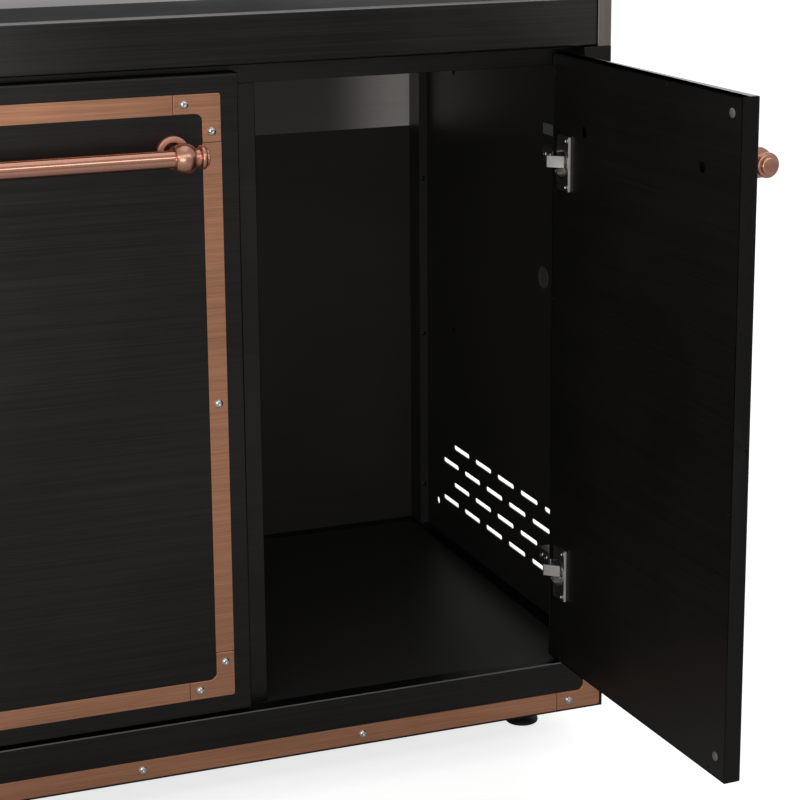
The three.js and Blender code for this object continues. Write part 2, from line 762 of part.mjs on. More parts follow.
// A door, made around its pivot: X = 0 and Y = 0 are the pivot, and sign turns X towards the hinge edge.
function makeDoor(side, sign, angle) {
  const door = new THREE.Group();
  door.position.set(sign * pivotLine, pivotDepth, 0);
  door.rotation.z = angle;
  island.add(door);

  const u = (fromEdge) => sign * (pivotInset - fromEdge);
  const front = -pivotDepth;
  const back = doorThickness - pivotDepth;
  const notches = Object.values(hingeHeights).map((z) => hingeNotch(sign, z));
  const handleZ = doorTop - handleDrop;
  const handleX = [u(handleInset), u(doorWidth - handleInset)].sort((a, b) => a - b);

  const shell = cut(
    block([u(0), u(doorWidth)], [front, back], [doorBottom, doorTop]),
    [
      block(
        [u(doorSheet), u(doorWidth - doorSheet)],
        [front + doorSheet, back + overrun],
        [doorBottom + doorSheet, doorTop - doorSheet],
      ),
      ...notches,
    ],
  );
  addNode(door, `door_shell_${side}`, shell, "blackSteel");

  const rim = doorSheet + clearance;
  const holes = Object.values(hingeHeights).map((z) => bar(
    "y",
    cupRadius + clearance,
    back - doorSheet - overrun,
    back + overrun,
    [z, u(cupInset)],
  ));
  handleX.forEach((x) => {
    holes.push(bar("y", accessHoleRadius, back - doorSheet - overrun, back + overrun, [handleZ, x], smallSides));
  });
  const liner = block(
    [u(rim), u(doorWidth - rim)],
    [back - doorSheet, back],
    [doorBottom + rim, doorTop - rim],
  );
  addNode(door, `door_liner_${side}`, cut(liner, [...holes, ...notches]), "blackSheet");

  makeDoorTrim(door, side, sign);
  addNode(door, `handle_bar_${side}`, makeHandleBar(handleX, handleZ), "copper");
  ["a", "b"].forEach((end, i) => {
    const piece = makeHandleBracket(handleX[i], handleZ, i === 0 ? 1 : -1);
    addNode(door, `handle_bracket_${side}_${end}`, piece, "copper");
  });
  for (const [level, z] of Object.entries(hingeHeights)) {
    addNode(door, `hinge_cup_${side}_${level}`, makeHingeCup(sign, z), "nickel");
  }
  const bumperLine = u(doorWidth - bumperSideInset);
  const bumperHeights = { low: doorBottom + bumperFootInset, high: doorTop - bumperHeadInset };
  for (const [level, z] of Object.entries(bumperHeights)) {
    const bumper = dome("y", bumperRadius, bumperHeight, back + clearance, [z, bumperLine], 1);
    addNode(door, `door_bumper_${side}_${level}`, bumper, "rubber");
  }
}

// The copper frame riveted to a door: flat strips all round, and a thicker bracket at each corner.
function makeDoorTrim(door, side, sign) {
  const u = (fromEdge) => sign * (pivotInset - fromEdge);
  const seat = -pivotDepth - clearance;
  const face = [seat - trimThickness, seat];
  const near = trimInset;
  const far = doorWidth - trimInset;
  const low = doorBottom + trimInset;
  const high = doorTop - trimInset;
  const upright = [low + bracketCorner, high - bracketCorner];
  const flat = [u(near + bracketCorner), u(far - bracketCorner)];
  const frame = [
    block([u(near), u(near + trimWidth)], face, upright),
    block([u(far - trimWidth), u(far)], face, upright),
    block(flat, face, [low, low + trimWidth]),
    block(flat, face, [high - trimWidth, high]),
  ];
  const middle = trimWidth / 2;
  const legEnd = bracketLeg - rivetInset;
  const bracketFace = seat - bracketThickness;
  for (const [edge, inward] of [[near, 1], [far, -1]]) {
    for (const [level, upward] of [[low, 1], [high, -1]]) {
      const signs = [-sign * inward, upward];
      frame.push(bracket(u(edge), level, signs, bracketLeg, trimWidth, bracketFace, seat));
      frame.push(rivet(bracketFace, level + upward * legEnd, u(edge + inward * middle)));
      frame.push(rivet(bracketFace, level + upward * middle, u(edge + inward * legEnd)));
    }
    frame.push(rivet(seat - trimThickness, (low + high) / 2, u(edge + inward * middle)));
  }
  addNode(door, `copper_frame_${side}`, join(frame), "copper");
}

// The bush of the cable hole in the right side.
function makeGrommet() {
  const grommet = turned("x", [
    [grommetBoreRadius, sideInner - grommetLip],
    [grommetLipRadius, sideInner - grommetLip],
    [grommetLipRadius, sideInner],
    [grommetRadius, sideInner],
    [grommetRadius, halfWidth],
    [grommetLipRadius, halfWidth],
    [grommetLipRadius, halfWidth + grommetLip],
    [grommetBoreRadius, halfWidth + grommetLip],
    [grommetBoreRadius, sideInner - grommetLip],
  ], [grommetSetback, floorTop + grommetLift], 0, smallSides);
  addNode(island, "cable_grommet", grommet, "blackPlastic");
}

makeBase();
makeFeet();
makeShell();
makeFrontFrame();
makeWorktop();
makeBaseTrim();
makeHingeArms();
makeDoor("left", sides.left, 0);
makeDoor("right", sides.right, openAngle);
makeGrommet();

const box = new THREE.Box3().setFromObject(island, true);
const middle = box.getCenter(new THREE.Vector3());
island.position.set(-middle.x, -middle.y, -box.min.z);

export default island;
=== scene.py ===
import json
import math

import bmesh
import bpy
from bpy.props import FloatProperty, FloatVectorProperty, PointerProperty
from mathutils import Matrix, Vector


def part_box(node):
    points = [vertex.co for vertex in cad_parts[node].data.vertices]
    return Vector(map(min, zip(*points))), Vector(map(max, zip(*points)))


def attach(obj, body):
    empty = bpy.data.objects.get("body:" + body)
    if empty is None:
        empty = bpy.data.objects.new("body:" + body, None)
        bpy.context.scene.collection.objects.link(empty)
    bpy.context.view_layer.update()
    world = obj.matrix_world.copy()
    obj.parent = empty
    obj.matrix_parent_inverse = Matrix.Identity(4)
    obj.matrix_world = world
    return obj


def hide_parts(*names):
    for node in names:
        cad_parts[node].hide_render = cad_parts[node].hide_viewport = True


bl_info = {
    "name": "Outdoor Kitchen Island",
    "version": (1, 0, 0),
    "blender": (4, 5, 0),
    "location": "View3D > Sidebar > Island",
    "description": "Dresses a black steel kitchen island with copper trim",
    "category": "Object",
}

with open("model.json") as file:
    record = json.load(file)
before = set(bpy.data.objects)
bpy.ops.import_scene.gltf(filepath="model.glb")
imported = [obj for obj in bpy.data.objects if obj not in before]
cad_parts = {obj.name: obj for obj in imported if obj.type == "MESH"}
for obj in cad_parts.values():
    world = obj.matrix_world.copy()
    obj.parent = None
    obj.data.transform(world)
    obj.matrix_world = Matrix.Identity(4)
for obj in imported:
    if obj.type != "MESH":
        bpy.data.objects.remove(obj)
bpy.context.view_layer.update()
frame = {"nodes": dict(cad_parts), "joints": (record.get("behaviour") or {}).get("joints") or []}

# Lengths are in metres. Pieces are made in the cabinet's own frame: X = 0 is its middle, Y = 0 is the front
# of the shut doors, and Z = 0 is the ground.
MM = 0.001
BASE_LOW, BASE_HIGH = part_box("base_frame")
DOOR_LOW, DOOR_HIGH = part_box("door_shell_left")
RAIL_TOP = BASE_HIGH.z
RAIL_LOW = BASE_LOW.z
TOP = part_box("worktop_frame")[1].z
HALF_WIDTH = (BASE_HIGH.x - BASE_LOW.x) / 2
MIDDLE = (BASE_HIGH.x + BASE_LOW.x) / 2
FRONT = BASE_LOW.y
DEPTH = BASE_HIGH.y - BASE_LOW.y
TO_ROW = Matrix.Translation((MIDDLE, FRONT, 0.0))
HINGE_LINE = MIDDLE - DOOR_LOW.x
DOOR_WIDTH = DOOR_HIGH.x - DOOR_LOW.x
DOOR_THICKNESS = DOOR_HIGH.y - DOOR_LOW.y
DOOR_BOTTOM = DOOR_LOW.z
DOOR_TOP = DOOR_HIGH.z
SIDES = {"left": -1, "right": 1}
LEVELS = ("low", "high")

JOINTS = {joint["child"]: joint for joint in frame["joints"]}
PIVOT = {side: Vector(JOINTS[f"{side}_door"]["pos_m"]) for side in SIDES}
OPEN_TURN = math.radians(-JOINTS["right_door"]["range_deg"][0])

# How far a piece is sunk in its seat, and how far apart two edges may lie and still be taken as one
SUNK = 0.4 * MM
SAME_PLACE = 0.1 * MM

# Roundings of the edges, from folded sheet down to the seam of a door pan
FOLD_ROUNDING = 1.2 * MM
PLATE_ROUNDING = 0.8 * MM
EDGE_ROUNDING = 0.6 * MM
PRESSED_ROUNDING = 0.5 * MM
FINE_ROUNDING = 0.4 * MM
CUT_ROUNDING = 0.3 * MM
SEAM_ROUNDING = 0.2 * MM

# Directions that a turned head looks along, in the frame of a door or of the cabinet
TO_FRONT = (0.0, -1.0, 0.0)
TO_BACK = (0.0, 1.0, 0.0)


def mirrored(sign):
    return Matrix.Diagonal((sign, 1.0, 1.0, 1.0))


def side_place(side):
    """From the right half of the cabinet to the half that is asked for."""
    return TO_ROW @ mirrored(SIDES[side])


def door_place(side):
    """From a door's frame to the row frame: X runs from its hinge edge, and Y = 0 is its front face."""
    shut = TO_ROW @ mirrored(SIDES[side]) @ Matrix.Translation((HINGE_LINE, 0.0, 0.0)) @ mirrored(-1)
    if side == "left":
        return shut
    pivot = PIVOT["right"]
    return Matrix.Translation(pivot) @ Matrix.Rotation(OPEN_TURN, 4, "Z") @ Matrix.Translation(-pivot) @ shut


# Sizes and colours that a user would change

def colour(name, description, default):
    return FloatVectorProperty(name=name, description=description, subtype="COLOR", size=3, min=0.0, max=1.0,
                               default=default)


def length(name, description, default):
    return FloatProperty(name=name, description=description, unit="LENGTH", subtype="DISTANCE", min=0.0,
                         default=default)


class IslandSizes(bpy.types.PropertyGroup):
    """Sizes of the pieces that the scene makes itself."""

    fold: length("Fold radius", "Outer radius of the worktop's folds", 0.003)
    door_fold: length("Door fold radius", "Outer radius of the folds round a door", 0.0024)
    skin: length("Worktop sheet", "Thickness of the worktop's sheet", 0.002)
    proud: length("Worktop overhang", "From the worktop's fascia to the front of its sheet", 0.003)
    flange: length("Worktop flange", "Depth of the flanges under the worktop's edges", 0.030)
    trim_inset: length("Trim inset", "From a door's edge to its copper trim", 0.020)
    trim_width: length("Trim width", "Width of the copper strips on the doors", 0.021)
    trim_thickness: length("Trim thickness", "Thickness of the copper strips", 0.001)
    bracket_thickness: length("Bracket thickness", "Thickness of the copper corner brackets", 0.0016)
    bracket_leg: length("Bracket leg", "Length of a corner bracket's legs on a door", 0.052)
    base_leg: length("Base bracket leg", "Length of a corner bracket's legs on the base", 0.056)
    base_trim_width: length("Base trim width", "Width of the copper on the base and the posts", 0.022)
    joint: length("Joint", "Gap between a strip and a bracket", 0.0004)
    rivet: length("Rivet radius", "Radius of a rivet's head", 0.0049)
    rivet_height: length("Rivet height", "Height of a rivet's head", 0.0026)
    bar: length("Bar radius", "Radius of a handle's bar", 0.0095)
    ball: length("Ball radius", "Radius of the ball at each end of a handle", 0.01620)
    rosette: length("Rosette radius", "Radius of the ring under each handle stem", 0.0175)
    standoff: length("Standoff", "From a door's face to the middle of its handle", 0.0445)


class IslandColours(bpy.types.PropertyGroup):
    """Base colours of the finishes."""

    black: colour("Black steel", "Brushed black steel outside", (0.046, 0.0435, 0.0420))
    inside: colour("Black sheet", "Satin black sheet inside", (0.050, 0.0470, 0.0430))
    copper: colour("Copper trim", "Brushed copper strips and brackets", (0.745, 0.360, 0.215))
    handle: colour("Copper handles", "Polished copper of the handles", (0.820, 0.420, 0.300))
    inlay: colour("Inlay", "Brushed steel of the worktop's inlay", (0.285, 0.276, 0.270))
    band: colour("Upper back", "Brushed steel of the upper back panel", (0.620, 0.580, 0.550))
    trim: colour("End trim", "Satin steel at the worktop's ends", (0.400, 0.355, 0.320))
    nickel: colour("Nickel", "Plated hinges and feet", (0.800, 0.770, 0.730))
    chrome: colour("Chrome", "Rivets and bright screws", (0.800, 0.800, 0.800))
    screw: colour("Dark screws", "Blackened screws of the liners and the panels", (0.050, 0.048, 0.045))
    rubber: colour("Bumpers", "Clear grey door bumpers", (0.200, 0.200, 0.205))
    plastic: colour("Plastic", "Black plastic pads of the feet", (0.012, 0.012, 0.012))
    bush: colour("Cable bush", "Dark rubber of the cable bush", (0.085, 0.080, 0.073))
    plate: colour("Blank plate", "Grey plate inside the right panel", (0.220, 0.220, 0.220))
    board: colour("Board", "Core under the worktop's sheet", (0.110, 0.085, 0.065))
    floor: colour("Floor", "Studio floor", (0.880, 0.880, 0.880))


def sizes():
    return bpy.context.scene.island_sizes


def colours():
    return bpy.context.scene.island_colours


# Shader nodes

def set_inputs(tree, node, inputs):
    """Links an input to a socket, or sets it to a value."""
    for key, value in inputs.items():
        if isinstance(value, bpy.types.NodeSocket):
            tree.links.new(value, node.inputs[key])
        else:
            node.inputs[key].default_value = value
    return node


def add_node(tree, kind, inputs=None, **settings):
    node = tree.nodes.new(kind)
    for key, value in settings.items():
        setattr(node, key, value)
    return set_inputs(tree, node, inputs or {})


def noise(tree, place, scale, detail, roughness=0.5, distortion=0.0):
    return add_node(tree, "ShaderNodeTexNoise",
                    {"Vector": place, "Scale": scale, "Detail": detail, "Roughness": roughness,
                     "Distortion": distortion}).outputs[0]


def map_range(tree, value, start=(0.0, 1.0), end=(0.0, 1.0), **settings):
    """A value taken from one range to another."""
    return add_node(tree, "ShaderNodeMapRange",
                    {"Value": value, "From Min": start[0], "From Max": start[1], "To Min": end[0],
                     "To Max": end[1]}, **settings).outputs[0]


def mix_values(tree, mask, first, second):
    return add_node(tree, "ShaderNodeMix", {"Factor": mask, 2: first, 3: second},
                    data_type="FLOAT").outputs[0]


def mix_colours(tree, mask, first, second):
    return add_node(tree, "ShaderNodeMix", {"Factor": mask, 6: first, 7: second}, data_type="RGBA").outputs[2]


def value_math(tree, operation, first, second=0.0):
    return add_node(tree, "ShaderNodeMath", {0: first, 1: second}, operation=operation).outputs[0]


def vector_math(tree, operation, first, second):
    node = add_node(tree, "ShaderNodeVectorMath", {0: first, 1: second}, operation=operation)
    return node.outputs["Value" if operation == "DISTANCE" else "Vector"]


def scaled(tree, tint, factor):
    return add_node(tree, "ShaderNodeVectorMath", {0: tint, "Scale": factor}, operation="SCALE").outputs[0]


def new_group(name, inputs, outputs):
    """A shader node group with its sockets, ready to be filled."""
    tree = bpy.data.node_groups.new(name, "ShaderNodeTree")
    for label, kind, default in inputs:
        socket = tree.interface.new_socket(name=label, in_out="INPUT", socket_type=kind)
        if default is not None:
            socket.default_value = default
    for label, kind in outputs:
        tree.interface.new_socket(name=label, in_out="OUTPUT", socket_type=kind)
    return tree, tree.nodes.new("NodeGroupInput"), tree.nodes.new("NodeGroupOutput")


def brushing_group():
    """Long fine scratches along X, with broader streaks under them."""
    if "brushing" in bpy.data.node_groups:
        return bpy.data.node_groups["brushing"]
    tree, given, made = new_group(
        "brushing",
        [("Vector", "NodeSocketVector", None), ("Along", "NodeSocketFloat", 6.0),
         ("Across", "NodeSocketFloat", 900.0), ("Streaks", "NodeSocketFloat", 0.25)],
        [("Lines", "NodeSocketFloat")],
    )
    fine = add_node(tree, "ShaderNodeCombineXYZ",
                    {"X": given.outputs["Along"], "Y": given.outputs["Across"], "Z": given.outputs["Across"]})
    stretched = vector_math(tree, "MULTIPLY", given.outputs["Vector"], fine.outputs[0])
    lines = noise(tree, stretched, scale=1.0, detail=3.0, roughness=0.65)
    broad = vector_math(tree, "MULTIPLY", stretched, (0.35, 0.12, 0.12))
    streaks = noise(tree, broad, scale=1.0, detail=2.0)
    both = mix_values(tree, given.outputs["Streaks"], lines, streaks)
    tree.links.new(map_range(tree, both, (0.32, 0.68)), made.inputs["Lines"])
    return tree


def clouding_group():
    """Soft uneven patches, such as handling leaves on a plated or coated sheet."""
    if "clouding" in bpy.data.node_groups:
        return bpy.data.node_groups["clouding"]
    tree, given, made = new_group(
        "clouding",
        [("Vector", "NodeSocketVector", None), ("Scale", "NodeSocketFloat", 7.0)],
        [("Patches", "NodeSocketFloat")],
    )
    patches = noise(tree, given.outputs["Vector"], given.outputs["Scale"], detail=5.0, roughness=0.55,
                    distortion=0.4)
    tree.links.new(map_range(tree, patches, (0.3, 0.7)), made.inputs["Patches"])
    return tree


def group_node(tree, group, inputs):
    return set_inputs(tree, add_node(tree, "ShaderNodeGroup", node_tree=group), inputs).outputs[0]


def object_place(tree):
    return add_node(tree, "ShaderNodeTexCoord").outputs["Object"]


def new_material(name):
    material = bpy.data.materials.new(f"{name}_finish")
    material.use_nodes = True
    tree = material.node_tree
    tree.nodes.clear()
    shader = tree.nodes.new("ShaderNodeBsdfPrincipled")
    out = tree.nodes.new("ShaderNodeOutputMaterial")
    tree.links.new(shader.outputs["BSDF"], out.inputs["Surface"])
    return material, tree, shader


def shaded(tree, base, contrast, mask):
    """The base colour, darker and lighter by the contrast, by a mask."""
    dark = tuple(channel * (1.0 - contrast) for channel in base) + (1.0,)
    light = tuple(min(1.0, channel * (1.0 + contrast)) for channel in base) + (1.0,)
    return mix_colours(tree, mask, dark, light)


def along_matrix(direction, turn):
    """The Mapping rotation that lays a brushing direction along X."""
    quarter = math.radians(90)
    return {"X": (0.0, 0.0, turn), "Y": (0.0, 0.0, quarter + turn), "Z": (0.0, quarter, turn)}[direction]


def painted_end_sheen(tree, start, reach, low, high):
    """A sheen painted into the base colour of long brushed sheet, in place of a reflection: low in the
    island's middle, and high towards its ends.
    """
    across = add_node(tree, "ShaderNodeSeparateXYZ", {"Vector": object_place(tree)}).outputs["X"]
    away = value_math(tree, "ABSOLUTE", value_math(tree, "SUBTRACT", across, MIDDLE))
    return map_range(tree, away, (start, reach), (low, high), interpolation_type="SMOOTHSTEP")


def fold_highlight_mask(tree, y, z, reach):
    """A mask along the island at one Y and Z: 1 on a fold where a highlight is painted, else 0."""
    flat = vector_math(tree, "MULTIPLY", object_place(tree), (0.0, 1.0, 1.0))
    away = vector_math(tree, "DISTANCE", flat, (0.0, y, z))
    return map_range(tree, away, (reach * 0.5, reach), (1.0, 0.0))


BUMP_DEPTH = 0.2 * MM


def brushed(name, base, direction="X", turn=0.0, along=5.0, across=900.0, contrast=0.18,
            roughness=(0.30, 0.40), relief=0.04, edge=None, metallic=1.0, painted_sheen=None, painted_fold_highlight=None):
    """Brushed metal. Its scratches run along X, Y or Z, with the pattern turned about Z where a door is."""
    material, tree, shader = new_material(name)
    place = add_node(tree, "ShaderNodeMapping",
                     {"Vector": object_place(tree), "Rotation": along_matrix(direction, turn)}).outputs[0]
    lines = group_node(tree, brushing_group(), {"Vector": place, "Along": along, "Across": across})
    cloud = group_node(tree, clouding_group(), {"Vector": place, "Scale": 5.0})
    tint = scaled(tree, shaded(tree, base, contrast, lines), mix_values(tree, cloud, 0.93, 1.07))
    # Painted sheen: the base colour is darker in the middle and brighter towards the ends, in place of a
    # reflection
    if painted_sheen is not None:
        tint = scaled(tree, tint, painted_end_sheen(tree, *painted_sheen))
    # Painted highlight: a light line painted along a fold, in place of the light that its rounding catches
    if painted_fold_highlight is not None:
        y, z, reach, highlight_colour = painted_fold_highlight
        tint = mix_colours(tree, fold_highlight_mask(tree, y, z, reach), tint, (*highlight_colour, 1.0))
    rough = map_range(tree, value_math(tree, "ADD", lines, cloud), (0.2, 1.8), roughness)
    bump = add_node(tree, "ShaderNodeBump", {"Height": lines, "Strength": relief, "Distance": BUMP_DEPTH})
    set_inputs(tree, shader, {"Base Color": tint, "Roughness": rough, "Metallic": metallic,
                              "Normal": bump.outputs[0]})
    if edge is not None:
        shader.inputs["Specular Tint"].default_value = (*edge, 1.0)
    return material


def cast(name, base, metallic=1.0, roughness=(0.2, 0.3), relief=0.02, contrast=0.06, coat=0.0):
    """Plated, turned or moulded stuff with a fine grain."""
    material, tree, shader = new_material(name)
    place = object_place(tree)
    cloud = group_node(tree, clouding_group(), {"Vector": place, "Scale": 30.0})
    fine = noise(tree, place, scale=400.0, detail=3.0)
    bump = add_node(tree, "ShaderNodeBump", {"Height": fine, "Strength": relief, "Distance": BUMP_DEPTH})
    set_inputs(tree, shader, {"Base Color": shaded(tree, base, contrast, cloud),
                              "Roughness": map_range(tree, cloud, end=roughness),
                              "Metallic": metallic, "Coat Weight": coat, "Normal": bump.outputs[0]})
    return material


# Finishes. Each has its maker, the record's slot, its base colour and its settings.

SATIN_SHEET = {"contrast": 0.1, "metallic": 0.5, "roughness": (0.38, 0.5), "relief": 0.03}
BRUSHED_COPPER = {"contrast": 0.22, "roughness": (0.3, 0.42), "relief": 0.05, "along": 14.0, "across": 1700.0}
POLISHED_COPPER = {"contrast": 0.05, "relief": 0.0, "along": 260.0, "across": 260.0}
OPEN = {"turn": -OPEN_TURN}
# Highlight lines painted along folds, in place of the light that their roundings catch: each with its Y, its
# Z, its reach and the painted highlight's colour
WORKTOP_FOLD_HIGHLIGHT = (FRONT + 3.9 * MM, TOP - 0.9 * MM, 2.6 * MM, (0.32, 0.31, 0.30))
RAIL_FOLD_HIGHLIGHT = (FRONT + 0.4 * MM, RAIL_TOP - 0.4 * MM, 1.4 * MM, (0.30, 0.29, 0.28))

FINISHES = {
    "black_steel": (brushed, "black_steel", "black", {"relief": 0.05}),
    "black_steel_open": (brushed, "black_steel", "black", {"relief": 0.05, **OPEN}),
    # The worktop's black has a painted sheen, brighter towards its ends in place of a reflection, and a
    # painted highlight along its front fold
    "worktop_black": (brushed, "black_steel", "black",
                      {"contrast": 0.2, "relief": 0.05, "edge": (0.045, 0.045, 0.045),
                       "roughness": (0.30, 0.42), "painted_sheen": (0.10, 0.44, 0.95, 1.9), "painted_fold_highlight": WORKTOP_FOLD_HIGHLIGHT}),
    # The base's black has a painted highlight along the rail's top front fold
    "base_black": (brushed, "black_steel", "black", {"relief": 0.05, "painted_fold_highlight": RAIL_FOLD_HIGHLIGHT}),
    "black_sheet": (brushed, "black_sheet", "inside", SATIN_SHEET),
    "black_sheet_deep": (brushed, "black_sheet", "inside", {**SATIN_SHEET, "direction": "Y"}),
    "black_sheet_open": (brushed, "black_sheet", "inside", {**SATIN_SHEET, **OPEN, "metallic": 0.85}),
    "copper": (brushed, "copper", "copper", BRUSHED_COPPER),
    "copper_open": (brushed, "copper", "copper", {**BRUSHED_COPPER, **OPEN}),
    "turned_copper": (brushed, "copper", "handle", {**POLISHED_COPPER, "roughness": (0.26, 0.30)}),
    "handle_copper": (brushed, "copper", "handle", {**POLISHED_COPPER, "roughness": (0.10, 0.13)}),
    "satin_copper": (brushed, "copper", "handle",
                     {"contrast": 0.05, "roughness": (0.42, 0.50), "relief": 0.01, "along": 300.0,
                      "across": 300.0}),
    "inlay_steel": (brushed, "stainless", "inlay",
                    {"contrast": 0.22, "relief": 0.08, "edge": (0.42, 0.41, 0.40)}),
    # The upper back band has a painted sheen: darker in the middle and brighter towards the ends, in place of
    # a reflection
    "band_steel": (brushed, "stainless", "band",
                   {"contrast": 0.06, "metallic": 0.35, "roughness": (0.36, 0.46),
                    "painted_sheen": (0.30, 0.42, 0.30, 1.6)}),
    "end_trim": (brushed, "satin_trim", "trim", {"direction": "Z", "contrast": 0.16}),
    "nickel": (cast, "nickel", "nickel", {"roughness": (0.24, 0.34)}),
    "hinge_nickel": (cast, "nickel", "nickel", {"roughness": (0.26, 0.34)}),
    # A more diffuse nickel, only for the painted highlight strips on the hinge flanges' edges
    "satin_nickel": (cast, "nickel", "nickel", {"metallic": 0.4, "roughness": (0.32, 0.4)}),
    "chrome": (cast, "nickel", "chrome", {"roughness": (0.12, 0.18), "relief": 0.003}),
    "dark_screw": (cast, "black_steel", "screw", {"roughness": (0.25, 0.35)}),
    "rubber": (cast, "rubber", "rubber", {"metallic": 0.0, "roughness": (0.28, 0.4), "coat": 0.3}),
    "black_plastic": (cast, "black_plastic", "plastic",
                      {"metallic": 0.0, "roughness": (0.45, 0.6), "relief": 0.1}),
    "bush_rubber": (cast, "black_plastic", "bush",
                    {"metallic": 0.0, "roughness": (0.5, 0.6), "relief": 0.05}),
    "plate_grey": (cast, "black_sheet", "plate", {"metallic": 0.0, "roughness": (0.4, 0.5)}),
    "board": (cast, "board", "board",
              {"metallic": 0.0, "roughness": (0.8, 0.95), "relief": 0.3, "contrast": 0.25}),
}


def finish_of(name):
    made = bpy.data.materials.get(f"{name}_finish")
    if made is None:
        maker, _, base, settings = FINISHES[name]
        made = maker(name, getattr(colours(), base), **settings)
    return made


# Shapes

def move(shape, matrix):
    bmesh.ops.transform(shape, matrix=matrix, verts=shape.verts[:])
    return shape


def tidy(shape):
    """Merges doubles and turns every face outwards, after a spin or a mirroring."""
    bmesh.ops.remove_doubles(shape, verts=shape.verts[:], dist=0.002 * MM)
    bmesh.ops.recalc_face_normals(shape, faces=shape.faces[:])
    return shape


def block(low, high):
    shape = bmesh.new()
    low, high = Vector(low), Vector(high)
    matrix = Matrix.Translation((low + high) / 2) @ Matrix.Diagonal((*(high - low), 1.0))
    bmesh.ops.create_cube(shape, size=1.0, matrix=matrix)
    return shape


def joined(shapes, places=(Matrix.Identity(4),)):
    """All the shapes in one, repeated at each place."""
    whole = bmesh.new()
    for shape in shapes:
        mesh = bpy.data.meshes.new("part")
        shape.to_mesh(mesh)
        shape.free()
        for place in places:
            copy = mesh.copy()
            copy.transform(place)
            whole.from_mesh(copy)
            bpy.data.meshes.remove(copy)
        bpy.data.meshes.remove(mesh)
    return whole


def turned(profile, steps=48, ring=False):
    """A turned shape about Z, from (radius, height) points. A ring's profile closes off the axis."""
    shape = bmesh.new()
    corners = [shape.verts.new((radius, 0.0, height)) for radius, height in profile]
    pairs = list(zip(corners, corners[1:])) + ([(corners[-1], corners[0])] if ring else [])
    for pair in pairs:
        shape.edges.new(pair)
    bmesh.ops.spin(shape, geom=shape.verts[:] + shape.edges[:], cent=(0, 0, 0), axis=(0, 0, 1),
                   dvec=(0, 0, 0), angle=math.tau, steps=steps, use_merge=True, use_duplicate=False)
    return tidy(shape)


def in_metres(outline):
    """An outline of (radius, height) points, given in millimetres."""
    return [(radius * MM, height * MM) for radius, height in outline]


def flat_bar(points, thickness, rounded_corners=(), sunk=0.8 * MM):
    """A flat plate in the XZ plane that stands out to -Y, with its back sunk in its seat."""
    shape = bmesh.new()
    corners = [shape.verts.new((x, sunk, z)) for x, z in points]
    shape.faces.new(corners)
    for index, radius in rounded_corners:
        bmesh.ops.bevel(shape, geom=[corners[index]], offset=radius, offset_type="OFFSET", segments=6,
                        profile=0.5, affect="VERTICES", material=-1)
    grown = bmesh.ops.extrude_face_region(shape, geom=shape.faces[:])
    front = [item for item in grown["geom"] if isinstance(item, bmesh.types.BMVert)]
    bmesh.ops.translate(shape, verts=front, vec=(0.0, -thickness - sunk, 0.0))
    return tidy(shape)


def rectangle(low_x, high_x, low_z, high_z):
    return [(low_x, low_z), (high_x, low_z), (high_x, high_z), (low_x, high_z)]


BRACKET_OUTER_RADIUS = 3 * MM
BRACKET_INNER_RADIUS = 8 * MM


def corner_bracket(leg, width, thickness):
    """An L of flat bar with its corner at X = 0, Z = 0, and its legs along +X and +Z."""
    points = [(0, 0), (leg, 0), (leg, width), (width, width), (width, leg), (0, leg)]
    return flat_bar(points, thickness, [(0, BRACKET_OUTER_RADIUS), (3, BRACKET_INNER_RADIUS)])


def framed(shape, border=0.5 * MM):
    """Insets the broad faces a little, so that smooth folds beside them don't bend their shading."""
    least_area = 0.0008
    broad = [face for face in shape.faces if face.calc_area() > least_area]
    bmesh.ops.inset_individual(shape, faces=broad, thickness=border, depth=0.0, use_even_offset=True)
    return shape


def rounded_folds(shape, folds, radius):
    bmesh.ops.bevel(shape, geom=folds, offset=radius, offset_type="OFFSET", segments=5, profile=0.5,
                    affect="EDGES", material=-1)


def is_fold(edge):
    return len(edge.link_faces) == 2 and edge.calc_face_angle() > math.radians(60)


def from_node(node):
    """A copy of a CAD node, with each flat face made whole so that its edges can be rounded."""
    shape = bmesh.new()
    shape.from_mesh(frame["nodes"][node].data)
    bmesh.ops.remove_doubles(shape, verts=shape.verts[:], dist=0.01 * MM)
    bmesh.ops.dissolve_limit(shape, angle_limit=math.radians(0.5), verts=shape.verts[:], edges=shape.edges[:],
                             use_dissolve_boundaries=False, delimit=set())
    return shape


def cut_sheet(outlines, thickness, rounding):
    """A flat sheet in the XY plane, from Bezier outlines: its edge first, then its holes."""
    curve = bpy.data.curves.new("outline", "CURVE")
    curve.dimensions = "2D"
    curve.fill_mode = "BOTH"
    curve.extrude = thickness / 2 - rounding
    curve.bevel_depth = rounding
    curve.bevel_resolution = 1
    curve.offset = -rounding
    curve.resolution_u = 8
    for points in outlines:
        spline = curve.splines.new("BEZIER")
        spline.bezier_points.add(len(points) - 1)
        for knot, (place, left, right) in zip(spline.bezier_points, points):
            knot.handle_left_type = knot.handle_right_type = "FREE"
            knot.co = (*place, 0.0)
            knot.handle_left = (*left, 0.0)
            knot.handle_right = (*right, 0.0)
        spline.use_cyclic_u = True
    holder = bpy.data.objects.new("outline", curve)
    bpy.context.scene.collection.objects.link(holder)
    bpy.context.view_layer.update()
    mesh = bpy.data.meshes.new_from_object(holder.evaluated_get(bpy.context.evaluated_depsgraph_get()))
    shape = bmesh.new()
    shape.from_mesh(mesh)
    bpy.data.objects.remove(holder)
    bpy.data.curves.remove(curve)
    bpy.data.meshes.remove(mesh)
    return tidy(shape)


ROUND_HANDLE = 0.5523
KNOT_GAP = 0.01 * MM


